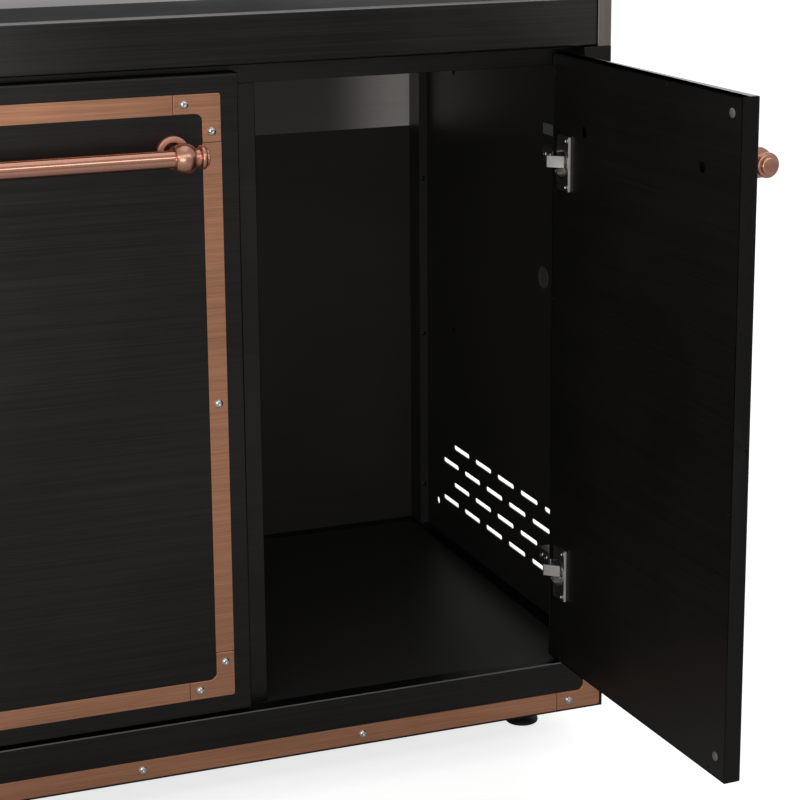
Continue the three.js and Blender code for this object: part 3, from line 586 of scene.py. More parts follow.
def oblong(x, y, width, height, radius):
    """A rectangle's outline with round corners, as Bezier knots."""
    knots = []
    pull = radius * ROUND_HANDLE
    for sx, sy, first in ((1, -1, "x"), (1, 1, "y"), (-1, 1, "x"), (-1, -1, "y")):
        flat_x = (x + sx * (width / 2 - radius), y + sy * height / 2)
        flat_y = (x + sx * width / 2, y + sy * (height / 2 - radius))
        towards_x = (flat_x[0] + sx * pull, flat_x[1])
        towards_y = (flat_y[0], flat_y[1] + sy * pull)
        if first == "x":
            knots += [(flat_x, flat_x, towards_x), (flat_y, towards_y, flat_y)]
        else:
            knots += [(flat_y, flat_y, towards_y), (flat_x, towards_x, flat_x)]
    return knots


def slot_hole(x, y, reach, width):
    """A slot's outline, or a circle's where its reach is its width."""
    return oblong(x, y, reach, width, width / 2 - KNOT_GAP)


# Pieces

def new_piece(name, shape, body, finish, place=TO_ROW, rounding=0.0, steps=2, stands_for=(), smooth=38.0):
    """Makes a shape a piece of the island, with its finish, on the body that carries it."""
    if place is not None:
        tidy(move(shape, place))
    mesh = bpy.data.meshes.new(name)
    shape.to_mesh(mesh)
    shape.free()
    mesh.shade_smooth()
    mesh.set_sharp_from_angle(angle=math.radians(smooth))
    mesh.materials.append(finish_of(finish))
    piece = bpy.data.objects.new(name, mesh)
    bpy.context.scene.collection.objects.link(piece)
    if rounding:
        bevel = piece.modifiers.new("rounding", "BEVEL")
        bevel.width = rounding
        bevel.segments = steps
        bevel.limit_method = "ANGLE"
        bevel.angle_limit = math.radians(smooth)
        bevel.harden_normals = True
        bevel.miter_outer = "MITER_ARC"
    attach(piece, body)
    if stands_for:
        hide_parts(*stands_for)


def dressed(node, body, finish, rounding=EDGE_ROUNDING, steps=2, smooth=38.0):
    """Stands a copy with rounded edges in for a CAD node."""
    new_piece(f"{node}_dressed", from_node(node), body, finish, place=None, rounding=rounding, steps=steps,
              stands_for=(node,), smooth=smooth)


def paint(node, finish):
    """Gives a CAD node that keeps its shape a finish."""
    mesh = frame["nodes"][node].data
    mesh.materials.clear()
    mesh.materials.append(finish_of(finish))


def facing(place, direction):
    """A matrix that stands Z-up shapes on a face at a place, looking along a direction."""
    return Matrix.Translation(place) @ Vector(direction).to_track_quat("Z", "Y").to_matrix().to_4x4()


def opened(side):
    """The ending of a finish whose pattern is turned with the open door."""
    return "_open" if side == "right" else ""


def centre(box):
    low, high = box
    return (low + high) / 2


# Worktop

class ISLAND_OT_worktop(bpy.types.Operator):
    """Folds the worktop's black sheet and lays the inlay and the end trims."""

    bl_idname = "island.worktop"
    bl_label = "Worktop"

    def execute(self, context):
        size = sizes()
        low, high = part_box("worktop_frame")
        inlay_low, inlay_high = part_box("worktop_inlay")
        sheet = self.folded_sheet(size, low.x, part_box("back_apron")[1].y)
        self.grow(sheet, (low.x, inlay_low.x, inlay_high.x, high.x))
        opening = [face for face in sheet.faces
                   if inlay_low.y < face.calc_center_median().y < inlay_high.y
                   and inlay_low.x < face.calc_center_median().x < inlay_high.x]
        bmesh.ops.delete(sheet, geom=opening, context="FACES")
        rounded_folds(sheet, [edge for edge in sheet.edges if is_fold(edge)], size.fold)
        bmesh.ops.recalc_face_normals(sheet, faces=sheet.faces[:])
        topmost = max(sheet.faces, key=lambda face: face.calc_center_median().z)
        if topmost.normal.z < 0:
            bmesh.ops.reverse_faces(sheet, faces=sheet.faces[:])
        framed(sheet)
        bmesh.ops.solidify(sheet, geom=sheet.faces[:], thickness=size.skin)
        bmesh.ops.recalc_face_normals(sheet, faces=sheet.faces[:])
        new_piece("worktop_sheet", sheet, "cabinet", "worktop_black", place=None,
                  stands_for=("worktop_frame", "fascia", "back_apron"), smooth=30.0)
        dressed("worktop_inlay", "cabinet", "inlay_steel", rounding=FINE_ROUNDING)
        for side in SIDES:
            dressed(f"end_trim_{side}", "cabinet", "end_trim", rounding=PLATE_ROUNDING)
        paint("worktop_bearers", "inlay_steel")
        paint("worktop_core", "board")
        return {"FINISHED"}

    @staticmethod
    def folded_sheet(size, x, back_y):
        """The sheet's folded section: flange, front, top with the inlay's edges, back and flange."""
        fascia_low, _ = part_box("fascia")
        inlay_low, inlay_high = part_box("worktop_inlay")
        lip, edge_y = fascia_low.z, fascia_low.y - size.proud
        section = [(edge_y + size.flange, lip), (edge_y, lip), (edge_y, TOP), (inlay_low.y, TOP),
                   (inlay_high.y, TOP), (back_y, TOP), (back_y, lip), (back_y - size.flange, lip)]
        sheet = bmesh.new()
        corners = [sheet.verts.new((x, y, z)) for y, z in section]
        for pair in zip(corners, corners[1:]):
            sheet.edges.new(pair)
        return sheet

    @staticmethod
    def grow(sheet, stops):
        """Draws the section out from each stop to the next."""
        edges = sheet.edges[:]
        for start, end in zip(stops, stops[1:]):
            grown = bmesh.ops.extrude_edge_only(sheet, edges=edges)["geom"]
            bmesh.ops.translate(sheet, vec=(end - start, 0.0, 0.0),
                                verts=[item for item in grown if isinstance(item, bmesh.types.BMVert)])
            edges = [item for item in grown if isinstance(item, bmesh.types.BMEdge)]


# Cabinet

class ISLAND_OT_base(bpy.types.Operator):
    """Finishes the base frame and the floor pan."""

    bl_idname = "island.base"
    bl_label = "Base"

    def execute(self, context):
        dressed("base_frame", "cabinet", "base_black", rounding=FOLD_ROUNDING, steps=3)
        paint("floor_pan", "black_sheet_deep")
        return {"FINISHED"}


class ISLAND_OT_shell(bpy.types.Operator):
    """Finishes the posts, the headers and the panels, with their rows of slots."""

    bl_idname = "island.shell"
    bl_label = "Shell"

    slot_length: length("Slot length", "Length of a vent slot", 0.053)
    slot_width: length("Slot width", "Width of a vent slot", 0.0065)
    slot_pitch: length("Slot pitch", "From one vent slot of a row to the next", 0.0725)
    row_pitch: length("Row pitch", "From one row of vent slots to the next", 0.0266)
    first_slot: length("First slot", "From a side panel's rear edge to the middle of its first slot", 0.1197)
    first_row: length("First row", "From a side panel's lower edge to its first row of slots", 0.056)
    drain: length("Drain hole", "Width of the drain hole", 0.010)
    drain_inset: length("Drain inset", "From a side panel's rear edge to its drain hole", 0.0738)
    drain_height: length("Drain height", "From a side panel's lower edge to its drain hole", 0.0436)
    cable_hole: length("Cable hole", "Width of the hole for the cable bush", 0.0246)

    ROWS = 4
    SLOTS = 5

    def execute(self, context):
        for side in SIDES:
            dressed(f"front_post_{side}", "cabinet", "black_steel", rounding=FOLD_ROUNDING, steps=3)
            paint(f"rear_post_{side}", "black_sheet")
            self.side_panel(side)
        dressed("centre_stile", "cabinet", "black_steel", rounding=FOLD_ROUNDING, steps=3)
        dressed("front_header", "cabinet", "black_steel")
        paint("rear_header", "black_sheet")
        paint("back_panel_lower", "black_sheet")
        paint("back_panel_upper", "band_steel")
        return {"FINISHED"}

    def side_panel(self, side):
        low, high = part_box(f"side_panel_{side}")
        depth, height = high.y - low.y, high.z - low.z
        outlines = [oblong(depth / 2, height / 2, depth, height, PRESSED_ROUNDING)]
        for row in range(self.ROWS):
            stagger = (row % 2) * self.slot_pitch / 2
            for slot in range(self.SLOTS):
                y = depth - self.first_slot - stagger - slot * self.slot_pitch
                outlines.append(slot_hole(y, self.first_row + row * self.row_pitch, self.slot_length,
                                          self.slot_width))
        outlines.append(slot_hole(depth - self.drain_inset, self.drain_height, self.drain, self.drain))
        if side == "right":
            cable = centre(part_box("cable_grommet")) - low
            outlines.append(slot_hole(cable.y, cable.z, self.cable_hole, self.cable_hole))
        sheet = cut_sheet(outlines, high.x - low.x, CUT_ROUNDING)
        upright = Matrix(((0, 0, 1, (low.x + high.x) / 2), (1, 0, 0, low.y), (0, 1, 0, low.z), (0, 0, 0, 1)))
        new_piece(f"side_panel_{side}_dressed", sheet, "cabinet", "black_sheet_deep", place=upright,
                  stands_for=(f"side_panel_{side}",), smooth=15.0)


# Doors

class ISLAND_OT_doors(bpy.types.Operator):
    """Folds the door pans and fits their liners."""

    bl_idname = "island.doors"
    bl_label = "Doors"

    notch: length("Notch", "From a door's front face to the notches for its hinge arms", 0.0029)

    def execute(self, context):
        for side in SIDES:
            body = f"{side}_door"
            place = door_place(side)
            pan = move(from_node(f"door_shell_{side}"), place.inverted())
            self.set_notches_back(pan)
            outer = [edge for edge in pan.edges
                     if is_fold(edge) and all(abs(vert.co.y) < SAME_PLACE for vert in edge.verts)
                     and self.on_outline(edge)]
            rounded_folds(pan, outer, sizes().door_fold)
            framed(pan, border=SEAM_ROUNDING)
            new_piece(f"door_pan_{side}", pan, body, f"black_steel{opened(side)}", place=place,
                      rounding=SEAM_ROUNDING, steps=1, stands_for=(f"door_shell_{side}",), smooth=30.0)
            dressed(f"door_liner_{side}", body, f"black_sheet{opened(side)}", rounding=CUT_ROUNDING, steps=1)
        return {"FINISHED"}

    def set_notches_back(self, pan):
        """Moves the front ends of the hinge arms' notches past the rounded fold."""
        solid_notch, sheet = 2.5 * MM, 2 * MM
        for vert in pan.verts:
            if vert.co.x < sheet and abs(vert.co.y - solid_notch) < SAME_PLACE:
                vert.co.y = self.notch

    @staticmethod
    def on_outline(edge):
        middle = (edge.verts[0].co + edge.verts[1].co) / 2
        return (min(abs(middle.x), abs(middle.x - DOOR_WIDTH)) < SAME_PLACE
                or min(abs(middle.z - DOOR_BOTTOM), abs(middle.z - DOOR_TOP)) < SAME_PLACE)


# Copper

def trim_edges(size):
    """The copper's outline on a door: its two sides along X, then its two ends along Z."""
    return (size.trim_inset, DOOR_WIDTH - size.trim_inset,
            DOOR_BOTTOM + size.trim_inset, DOOR_TOP - size.trim_inset)


class ISLAND_OT_copper_trim(bpy.types.Operator):
    """Lays the copper strips and corner brackets on the doors, the posts and the base."""

    bl_idname = "island.copper_trim"
    bl_label = "Copper trim"

    def execute(self, context):
        size = sizes()
        for side in SIDES:
            self.door_trim(side, size)
            self.post_trim(side, size)
        low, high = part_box("base_strip")
        half = (high.x - low.x) / 2
        base = flat_bar(rectangle(-half, half, low.z, low.z + size.base_trim_width), size.trim_thickness)
        new_piece("base_strip_copper", base, "cabinet", "copper", rounding=CUT_ROUNDING,
                  stands_for=("base_strip",))
        return {"FINISHED"}

    @staticmethod
    def door_trim(side, size):
        near, far, low, high = trim_edges(size)
        width, reach = size.trim_width, size.bracket_leg + size.joint
        strips = [flat_bar(rectangle(*edges), size.trim_thickness) for edges in (
            (near + reach, far - reach, low, low + width),
            (near + reach, far - reach, high - width, high),
            (near, near + width, low + reach, high - reach),
            (far - width, far, low + reach, high - reach),
        )]
        body, finish, place = f"{side}_door", f"copper{opened(side)}", door_place(side)
        new_piece(f"door_strips_{side}", joined(strips), body, finish, place=place, rounding=CUT_ROUNDING,
                  stands_for=(f"copper_frame_{side}",))
        corners = [
            Matrix.Translation((x, 0.0, z)) @ Matrix.Diagonal((sx, 1.0, sz, 1.0))
            for x, sx in ((near, 1), (far, -1)) for z, sz in ((low, 1), (high, -1))
        ]
        brackets = joined([corner_bracket(size.bracket_leg, width, size.bracket_thickness)], corners)
        new_piece(f"door_brackets_{side}", brackets, body, finish, place=place, rounding=PLATE_ROUNDING,
                  steps=3)

    @staticmethod
    def post_trim(side, size):
        low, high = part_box(f"base_bracket_{side}")
        _, strip_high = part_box(f"post_strip_{side}")
        outer = max(abs(low.x - MIDDLE), abs(high.x - MIDDLE))
        angle = move(corner_bracket(size.base_leg, size.base_trim_width, size.bracket_thickness),
                     Matrix.Translation((outer, 0.0, low.z)) @ mirrored(-1))
        new_piece(f"base_bracket_{side}_copper", angle, "cabinet", "copper", place=side_place(side),
                  rounding=PLATE_ROUNDING, steps=3, stands_for=(f"base_bracket_{side}",))
        upright = flat_bar(rectangle(outer - size.base_trim_width, outer, low.z + size.base_leg + size.joint,
                                     strip_high.z), size.trim_thickness)
        new_piece(f"post_strip_{side}_copper", upright, "cabinet", "copper", place=side_place(side),
                  rounding=CUT_ROUNDING, stands_for=(f"post_strip_{side}",))


class ISLAND_OT_rivets(bpy.types.Operator):
    """Sets the bright rivets of the copper trim."""

    bl_idname = "island.rivets"
    bl_label = "Rivets"

    inset: length("Rivet inset", "From a bracket's end to its rivet", 0.0117)
    end: length("End rivet", "From the island's side to the base's last rivet", 0.045)

    def execute(self, context):
        size = sizes()
        near, far, low, high = trim_edges(size)
        on_bracket, on_strip = -size.bracket_thickness, -size.trim_thickness
        middle, leg = size.trim_width / 2, size.bracket_leg - self.inset
        door = []
        for x, sx in ((near, 1), (far, -1)):
            for z, sz in ((low, 1), (high, -1)):
                door += [(x + sx * leg, on_bracket, z + sz * middle),
                         (x + sx * middle, on_bracket, z + sz * leg)]
            door.append((x + sx * middle, on_strip, (low + high) / 2))
        for side in SIDES:
            new_piece(f"door_rivets_{side}", self.heads(size, door), f"{side}_door", "chrome",
                      place=door_place(side))

        bracket_low, bracket_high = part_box("base_bracket_right")
        _, strip_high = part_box("post_strip_right")
        line = bracket_low.z + size.base_trim_width / 2
        upright = bracket_high.x - MIDDLE - size.base_trim_width / 2
        reach = HALF_WIDTH - self.end
        base = [
            (reach, on_bracket, line),
            (reach / 3, on_strip, line),
            (upright, on_bracket, bracket_low.z + size.base_leg - self.inset),
            (upright, on_strip, (DOOR_BOTTOM + DOOR_TOP) / 2),
            (upright, on_strip, strip_high.z - self.inset),
        ]
        for side in SIDES:
            new_piece(f"base_rivets_{side}", self.heads(size, base), "cabinet", "chrome",
                      place=side_place(side))
        return {"FINISHED"}

    @staticmethod
    def heads(size, places):
        """Domed heads with a small recess in the middle."""
        dome_shares = ((0.96, 0.30), (0.86, 0.58), (0.70, 0.82), (0.50, 0.96), (0.30, 1.0), (0.26, 0.97),
                       (0.24, 0.30), (0.0, 0.25))
        foot, rim = -0.6 * MM, 0.3 * MM
        profile = [(0.0, foot), (size.rivet, foot), (size.rivet, rim)]
        profile += [(size.rivet * across, size.rivet_height * up) for across, up in dome_shares]
        return joined([turned(profile, steps=28)], [facing(place, TO_FRONT) for place in places])


# Handles

class ISLAND_OT_handles(bpy.types.Operator):
    """Turns the copper handles: bars, balls with collars, end caps, stems and rosettes."""

    bl_idname = "island.handles"
    bl_label = "Handles"

    inset: length("Handle inset", "From a door's edge to the middle of a ball", 0.074)
    drop: length("Handle drop", "From a door's top to the handle", 0.080)

    def execute(self, context):
        size = sizes()
        height = DOOR_TOP - self.drop
        ends = (self.inset, DOOR_WIDTH - self.inset)
        for side in SIDES:
            body, place = f"{side}_door", door_place(side)
            along = (Matrix.Translation((0.0, -size.standoff, height))
                     @ Matrix.Rotation(math.radians(90), 4, "Y"))
            rod = turned([(0.0, ends[0]), (size.bar, ends[0]), (size.bar, ends[1]), (0.0, ends[1])], steps=64)
            new_piece(f"handle_rod_{side}", move(rod, along), body, "handle_copper", place=place,
                      stands_for=(f"handle_bar_{side}",))
            outward = [facing((x, -size.standoff, height), (sign, 0.0, 0.0))
                       for x, sign in zip(ends, (-1, 1))]
            new_piece(f"handle_balls_{side}", joined([self.ball(size)], outward), body, "turned_copper",
                      place=place, stands_for=(f"handle_bracket_{side}_a", f"handle_bracket_{side}_b"))
            new_piece(f"handle_caps_{side}", joined([self.cap()], outward), body, "turned_copper",
                      place=place, rounding=CUT_ROUNDING)
            feet = [facing((x, 0.0, height), TO_FRONT) for x in ends]
            new_piece(f"handle_stems_{side}", joined([self.stem(size)], feet), body, "turned_copper",
                      place=place, rounding=FINE_ROUNDING)
            new_piece(f"handle_rosettes_{side}", joined([self.rosette(size)], feet), body, "satin_copper",
                      place=place)
        return {"FINISHED"}

    @staticmethod
    def ball(size):
        """A barrel on its axis, with a flat end towards the bar (-Z) and a shoulder towards the cap (+Z)."""
        end, shoulder, bore = -10.8 * MM, 11.3 * MM, size.bar * 0.6
        barrel = ((0.775, -10.8), (0.805, -10.6), (0.83, -10.1), (0.875, -8.7), (0.925, -6.7), (0.965, -4.7),
                  (0.990, -2.7), (1.0, -0.9), (0.998, 0.9), (0.982, 2.8), (0.952, 4.7), (0.908, 6.5),
                  (0.850, 8.2), (0.780, 9.6), (0.700, 10.7), (0.640, 11.2))
        profile = [(size.bar * 0.9, end)]
        profile += [(size.ball * share, height * MM) for share, height in barrel]
        profile += [(10.2 * MM, shoulder), (bore, shoulder)]
        return turned(profile, steps=72, ring=True)

    @staticmethod
    def cap():
        """The turned end: a neck, a groove, a ring, a second groove and a low domed disc."""
        neck = [(0.0, 10.0), (10.0, 10.0), (9.7, 12.0), (9.6, 13.4), (10.0, 15.8), (9.6, 16.1)]
        groove = [(8.4, 16.2), (8.4, 17.1)]
        ring = [(11.8, 17.1), (12.7, 17.5), (13.1, 18.4), (13.2, 19.6), (13.0, 20.9), (12.3, 22.0),
                (11.2, 22.6)]
        second_groove = [(8.6, 22.7), (8.6, 23.2)]
        disc = [(9.4, 23.3), (9.6, 23.7), (9.6, 24.9), (9.0, 25.6), (7.0, 26.1), (3.6, 26.4), (0.0, 26.5)]
        return turned(in_metres(neck + groove + ring + second_groove + disc), steps=72)

    @staticmethod
    def stem(size):
        reach = size.standoff - 6 * MM
        foot = in_metres([(0.0, -0.4), (8.0, -0.4), (8.0, 4.6), (7.6, 6.0), (7.3, 9.0)])
        flare = [(radius * MM, reach - before * MM)
                 for radius, before in ((7.2, 18.0), (7.6, 12.0), (9.0, 7.0), (9.0, 0.0), (0.0, 0.0))]
        return turned(foot + flare, steps=48)

    @staticmethod
    def rosette(size):
        """A flat ring round the stem, with a gap inside it that shows the door."""
        inward = ((6.6, -0.4), (0.0, -0.4), (0.0, 4.0), (0.3, 4.7), (0.9, 5.0), (6.0, 5.0), (6.6, 4.5))
        section = [(size.rosette - inset * MM, height * MM) for inset, height in inward]
        return turned(section, steps=72, ring=True)


# Hinges and small fittings

def screw_head(radius, height, recess=0.5):
    """A pan head with a round driving recess."""
    profile = [(0.0, -SUNK), (radius, -SUNK), (radius, height * 0.45), (radius * 0.82, height * 0.85),
               (radius * 0.58, height), (radius * recess, height), (radius * recess * 0.8, height * 0.35),
               (0.0, height * 0.25)]
    return turned(profile, steps=20)


def heads_piece(name, head, spots, body, finish, place):
    """One piece of equal screw or rivet heads, one at each spot."""
    new_piece(name, joined([screw_head(*head)], spots), body, finish, place=place)


FLANGE_SCREW = (3.4 * MM, 1.1 * MM)
PLATE_SCREW = (3.6 * MM, 1.7 * MM)
WEB_RIVET = (3.0 * MM, 1.2 * MM, 0.35)
PANEL_SCREW = (3.0 * MM, 1.4 * MM)
LINER_SCREW = (1.6 * MM, 0.6 * MM)


class ISLAND_OT_hinges(bpy.types.Operator):
    """Rounds the hinge arms and cups, and adds their pins, rivets and screws."""

    bl_idname = "island.hinges"
    bl_label = "Hinges"

    cup_inset: length("Cup inset", "From a door's hinge edge to the middle of its cups", 0.025)
    screw_inset: length("Flange screw inset", "From a door's hinge edge to the cups' screws", 0.0385)
    screw_rise: length("Flange screw rise", "From a cup's middle to its screws", 0.0262)
    flange: length("Flange", "From a door's inner face to the outside of a cup's flange", 0.0027)
    flange_rise: length("Flange rise", "From a cup's middle to the ends of its flange", 0.0308)
    wing_rise: length("Wing rise", "From an arm's middle to the screws in its wings", 0.0165)

    def execute(self, context):
        for side in SIDES:
            for level in LEVELS:
                dressed(f"hinge_arm_{side}_{level}", "cabinet", "nickel", rounding=FINE_ROUNDING)
                self.cup(side, level)
                self.pin(side, level)
                self.arm_screws(side, level)
        return {"FINISHED"}

    def cup(self, side, level):
        """The cup, its flange and the link, all rounded, with the flange's screws, a painted highlight strip
        on the flange's edge, and the cup's rim.
        """
        node, body, place = f"hinge_cup_{side}_{level}", f"{side}_door", door_place(side)
        z, face = centre(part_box(node)).z, DOOR_THICKNESS + self.flange
        dressed(node, body, "hinge_nickel", rounding=PRESSED_ROUNDING, steps=3, smooth=28.0)
        spots = [facing((self.screw_inset, face, z + sign * self.screw_rise), TO_BACK) for sign in (-1, 1)]
        heads_piece(f"hinge_flange_screws_{side}_{level}", FLANGE_SCREW, spots, body, "chrome", place)
        # Painted highlight: a thin strip of more diffuse nickel on the flange's edge, so that the edge reads
        # bright
        strip_from, strip_to, proud, under = 42.8 * MM, 44.1 * MM, 0.2 * MM, 0.1 * MM
        lip = block((strip_from, DOOR_THICKNESS + under, z - self.flange_rise),
                    (strip_to, face + proud, z + self.flange_rise))
        new_piece(f"hinge_flange_lip_{side}_{level}", lip, body, "satin_nickel", place=place,
                  rounding=EDGE_ROUNDING, steps=3)
        self.rim(side, level, z)

    def rim(self, side, level, z):
        """The rolled rim round the cup, open where the link comes out."""
        section = in_metres([(16.6, 0.0), (17.4, 0.0), (17.8, 0.9), (17.0, 1.4), (16.4, 0.9)])
        seat, link_reach, link_half = DOOR_THICKNESS + 2.2 * MM, 19.5 * MM, 9.4 * MM
        rim = joined([turned(section, steps=56, ring=True)], [facing((self.cup_inset, seat, z), TO_BACK)])
        near_link = [vert for vert in rim.verts if vert.co.x < link_reach and abs(vert.co.z - z) < link_half]
        bmesh.ops.delete(rim, geom=near_link, context="VERTS")
        bmesh.ops.holes_fill(rim, edges=rim.edges[:], sides=8)
        new_piece(f"hinge_cup_rim_{side}_{level}", rim, f"{side}_door", "chrome", place=door_place(side))

    @staticmethod
    def pin(side, level):
        """The pin, with a low head on each end."""
        node = f"hinge_pin_{side}_{level}"
        low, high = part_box(node)
        half, r = (high.z - low.z) / 2, (high.x - low.x) / 2
        head, bevelled = 0.6 * MM, 0.2 * MM
        upper = [(r, half), (r * 1.6, half), (r * 1.6, half + bevelled), (r * 1.3, half + head),
                 (0.0, half + head)]
        profile = [(radius, -height) for radius, height in reversed(upper)] + upper
        new_piece(f"{node}_turned", turned(profile, steps=24), "cabinet", "chrome",
                  place=Matrix.Translation((low + high) / 2), stands_for=(node,))

    def arm_screws(self, side, level):
        """Two screws through the wings of the mounting plate, and two rivets in the arm's web."""
        low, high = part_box(f"hinge_arm_{side}_{level}")
        z = (low.z + high.z) / 2
        sign = SIDES[side]
        inward = (-sign, 0.0, 0.0)
        plate, wing_depth, rivet_depths = 2 * MM, 21 * MM, (8 * MM, 20 * MM)
        seat, web = (high.x - plate, low.x) if sign > 0 else (low.x + plate, high.x)
        wings = [facing((seat, high.y - wing_depth, z + end * self.wing_rise), inward) for end in (-1, 1)]
        heads_piece(f"hinge_plate_screws_{side}_{level}", PLATE_SCREW, wings, "cabinet", "chrome",
                    Matrix.Identity(4))
        rivets = [facing((web, high.y - depth, z), inward) for depth in rivet_depths]
        heads_piece(f"hinge_web_rivets_{side}_{level}", WEB_RIVET, rivets, "cabinet", "chrome",
                    Matrix.Identity(4))


class ISLAND_OT_bumpers(bpy.types.Operator):
    """Sticks the clear bumpers on the doors' inner faces."""

    bl_idname = "island.bumpers"
    bl_label = "Bumpers"

    radius: length("Bumper radius", "Radius of a bumper", 0.005)
    height: length("Bumper height", "Height of a bumper", 0.0019)
    inset: length("Bumper inset", "From a door's free edge to its bumpers", 0.0185)
    rise: length("Bumper rise", "From a door's bottom to its lower bumper", 0.024)
    drop: length("Bumper drop", "From a door's top to its upper bumper", 0.018)

    def execute(self, context):
        foot, rim = -0.3 * MM, 0.4 * MM
        profile = [(0.0, foot), (self.radius, foot), (self.radius, rim)]
        profile += [(self.radius * math.cos(turn), rim + (self.height - rim) * math.sin(turn))
                    for turn in (0.3, 0.6, 0.9, 1.2)]
        profile.append((0.0, self.height))
        for side in SIDES:
            places = [facing((DOOR_WIDTH - self.inset, DOOR_THICKNESS, z), TO_BACK)
                      for z in (DOOR_BOTTOM + self.rise, DOOR_TOP - self.drop)]
            nodes = tuple(f"door_bumper_{side}_{level}" for level in LEVELS)
            new_piece(f"door_bumpers_{side}", joined([turned(profile, steps=32)], places), f"{side}_door",
                      "rubber", place=door_place(side), stands_for=nodes)
        return {"FINISHED"}


class ISLAND_OT_feet(bpy.types.Operator):
    """Turns the levelling feet, with threaded stems and hexagon nuts."""

    bl_idname = "island.feet"
    bl_label = "Feet"

    pitch: length("Thread pitch", "Distance between the thread's turns", 0.00175)
    crest: length("Thread crest", "Outer radius of the thread", 0.0060)
    root: length("Thread root", "Inner radius of the thread", 0.0053)
    nut: length("Nut radius", "From a nut's middle to its corners", 0.010)
    nut_height: length("Nut height", "Height of a nut", 0.008)

    def execute(self, context):
        for side in SIDES:
            for end in ("front", "back"):
                self.foot(f"levelling_foot_{end}_{side}")
        return {"FINISHED"}

    def foot(self, node):
        low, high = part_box(node)
        middle = (low + high) / 2
        place = Matrix.Translation((middle.x, middle.y, 0.0))
        pad = in_metres([(0.0, 0.0), (18.8, 0.0), (19.8, 0.8), (19.9, 3.4), (19.2, 4.4), (15.0, 6.2),
                         (12.2, 8.5), (11.5, 9.0), (0.0, 9.0)])
        new_piece(f"{node}_pad", turned(pad, steps=56), "cabinet", "black_plastic", place=place,
                  stands_for=(node,))
        new_piece(f"{node}_stem", turned(self.thread(high.z), steps=28), "cabinet", "nickel", place=place,
                  smooth=20.0)
        gap = 2 * MM
        nuts = [self.hexagon(bottom) for bottom in (RAIL_LOW - self.nut_height, RAIL_LOW + gap)]
        new_piece(f"{node}_nuts", joined(nuts), "cabinet", "nickel", place=place, rounding=EDGE_ROUNDING)

    def thread(self, top):
        """The stem's outline: a ring for each turn of the thread, and a chamfered end."""
        start, thread_start = 8.5 * MM, 10 * MM
        outline = [(0.0, start), (self.crest, start)]
        height = thread_start
        while height < top - self.pitch:
            outline += [(self.root, height), (self.crest, height + self.pitch / 2)]
            height += self.pitch
        return outline + [(5.2 * MM, top - 0.8 * MM), (4.2 * MM, top), (0.0, top)]

    def hexagon(self, bottom):
        nut = bmesh.new()
        bmesh.ops.create_cone(nut, cap_ends=True, segments=6, radius1=self.nut, radius2=self.nut,
                              depth=self.nut_height,
                              matrix=Matrix.Translation((0.0, 0.0, bottom + self.nut_height / 2)))
        return nut


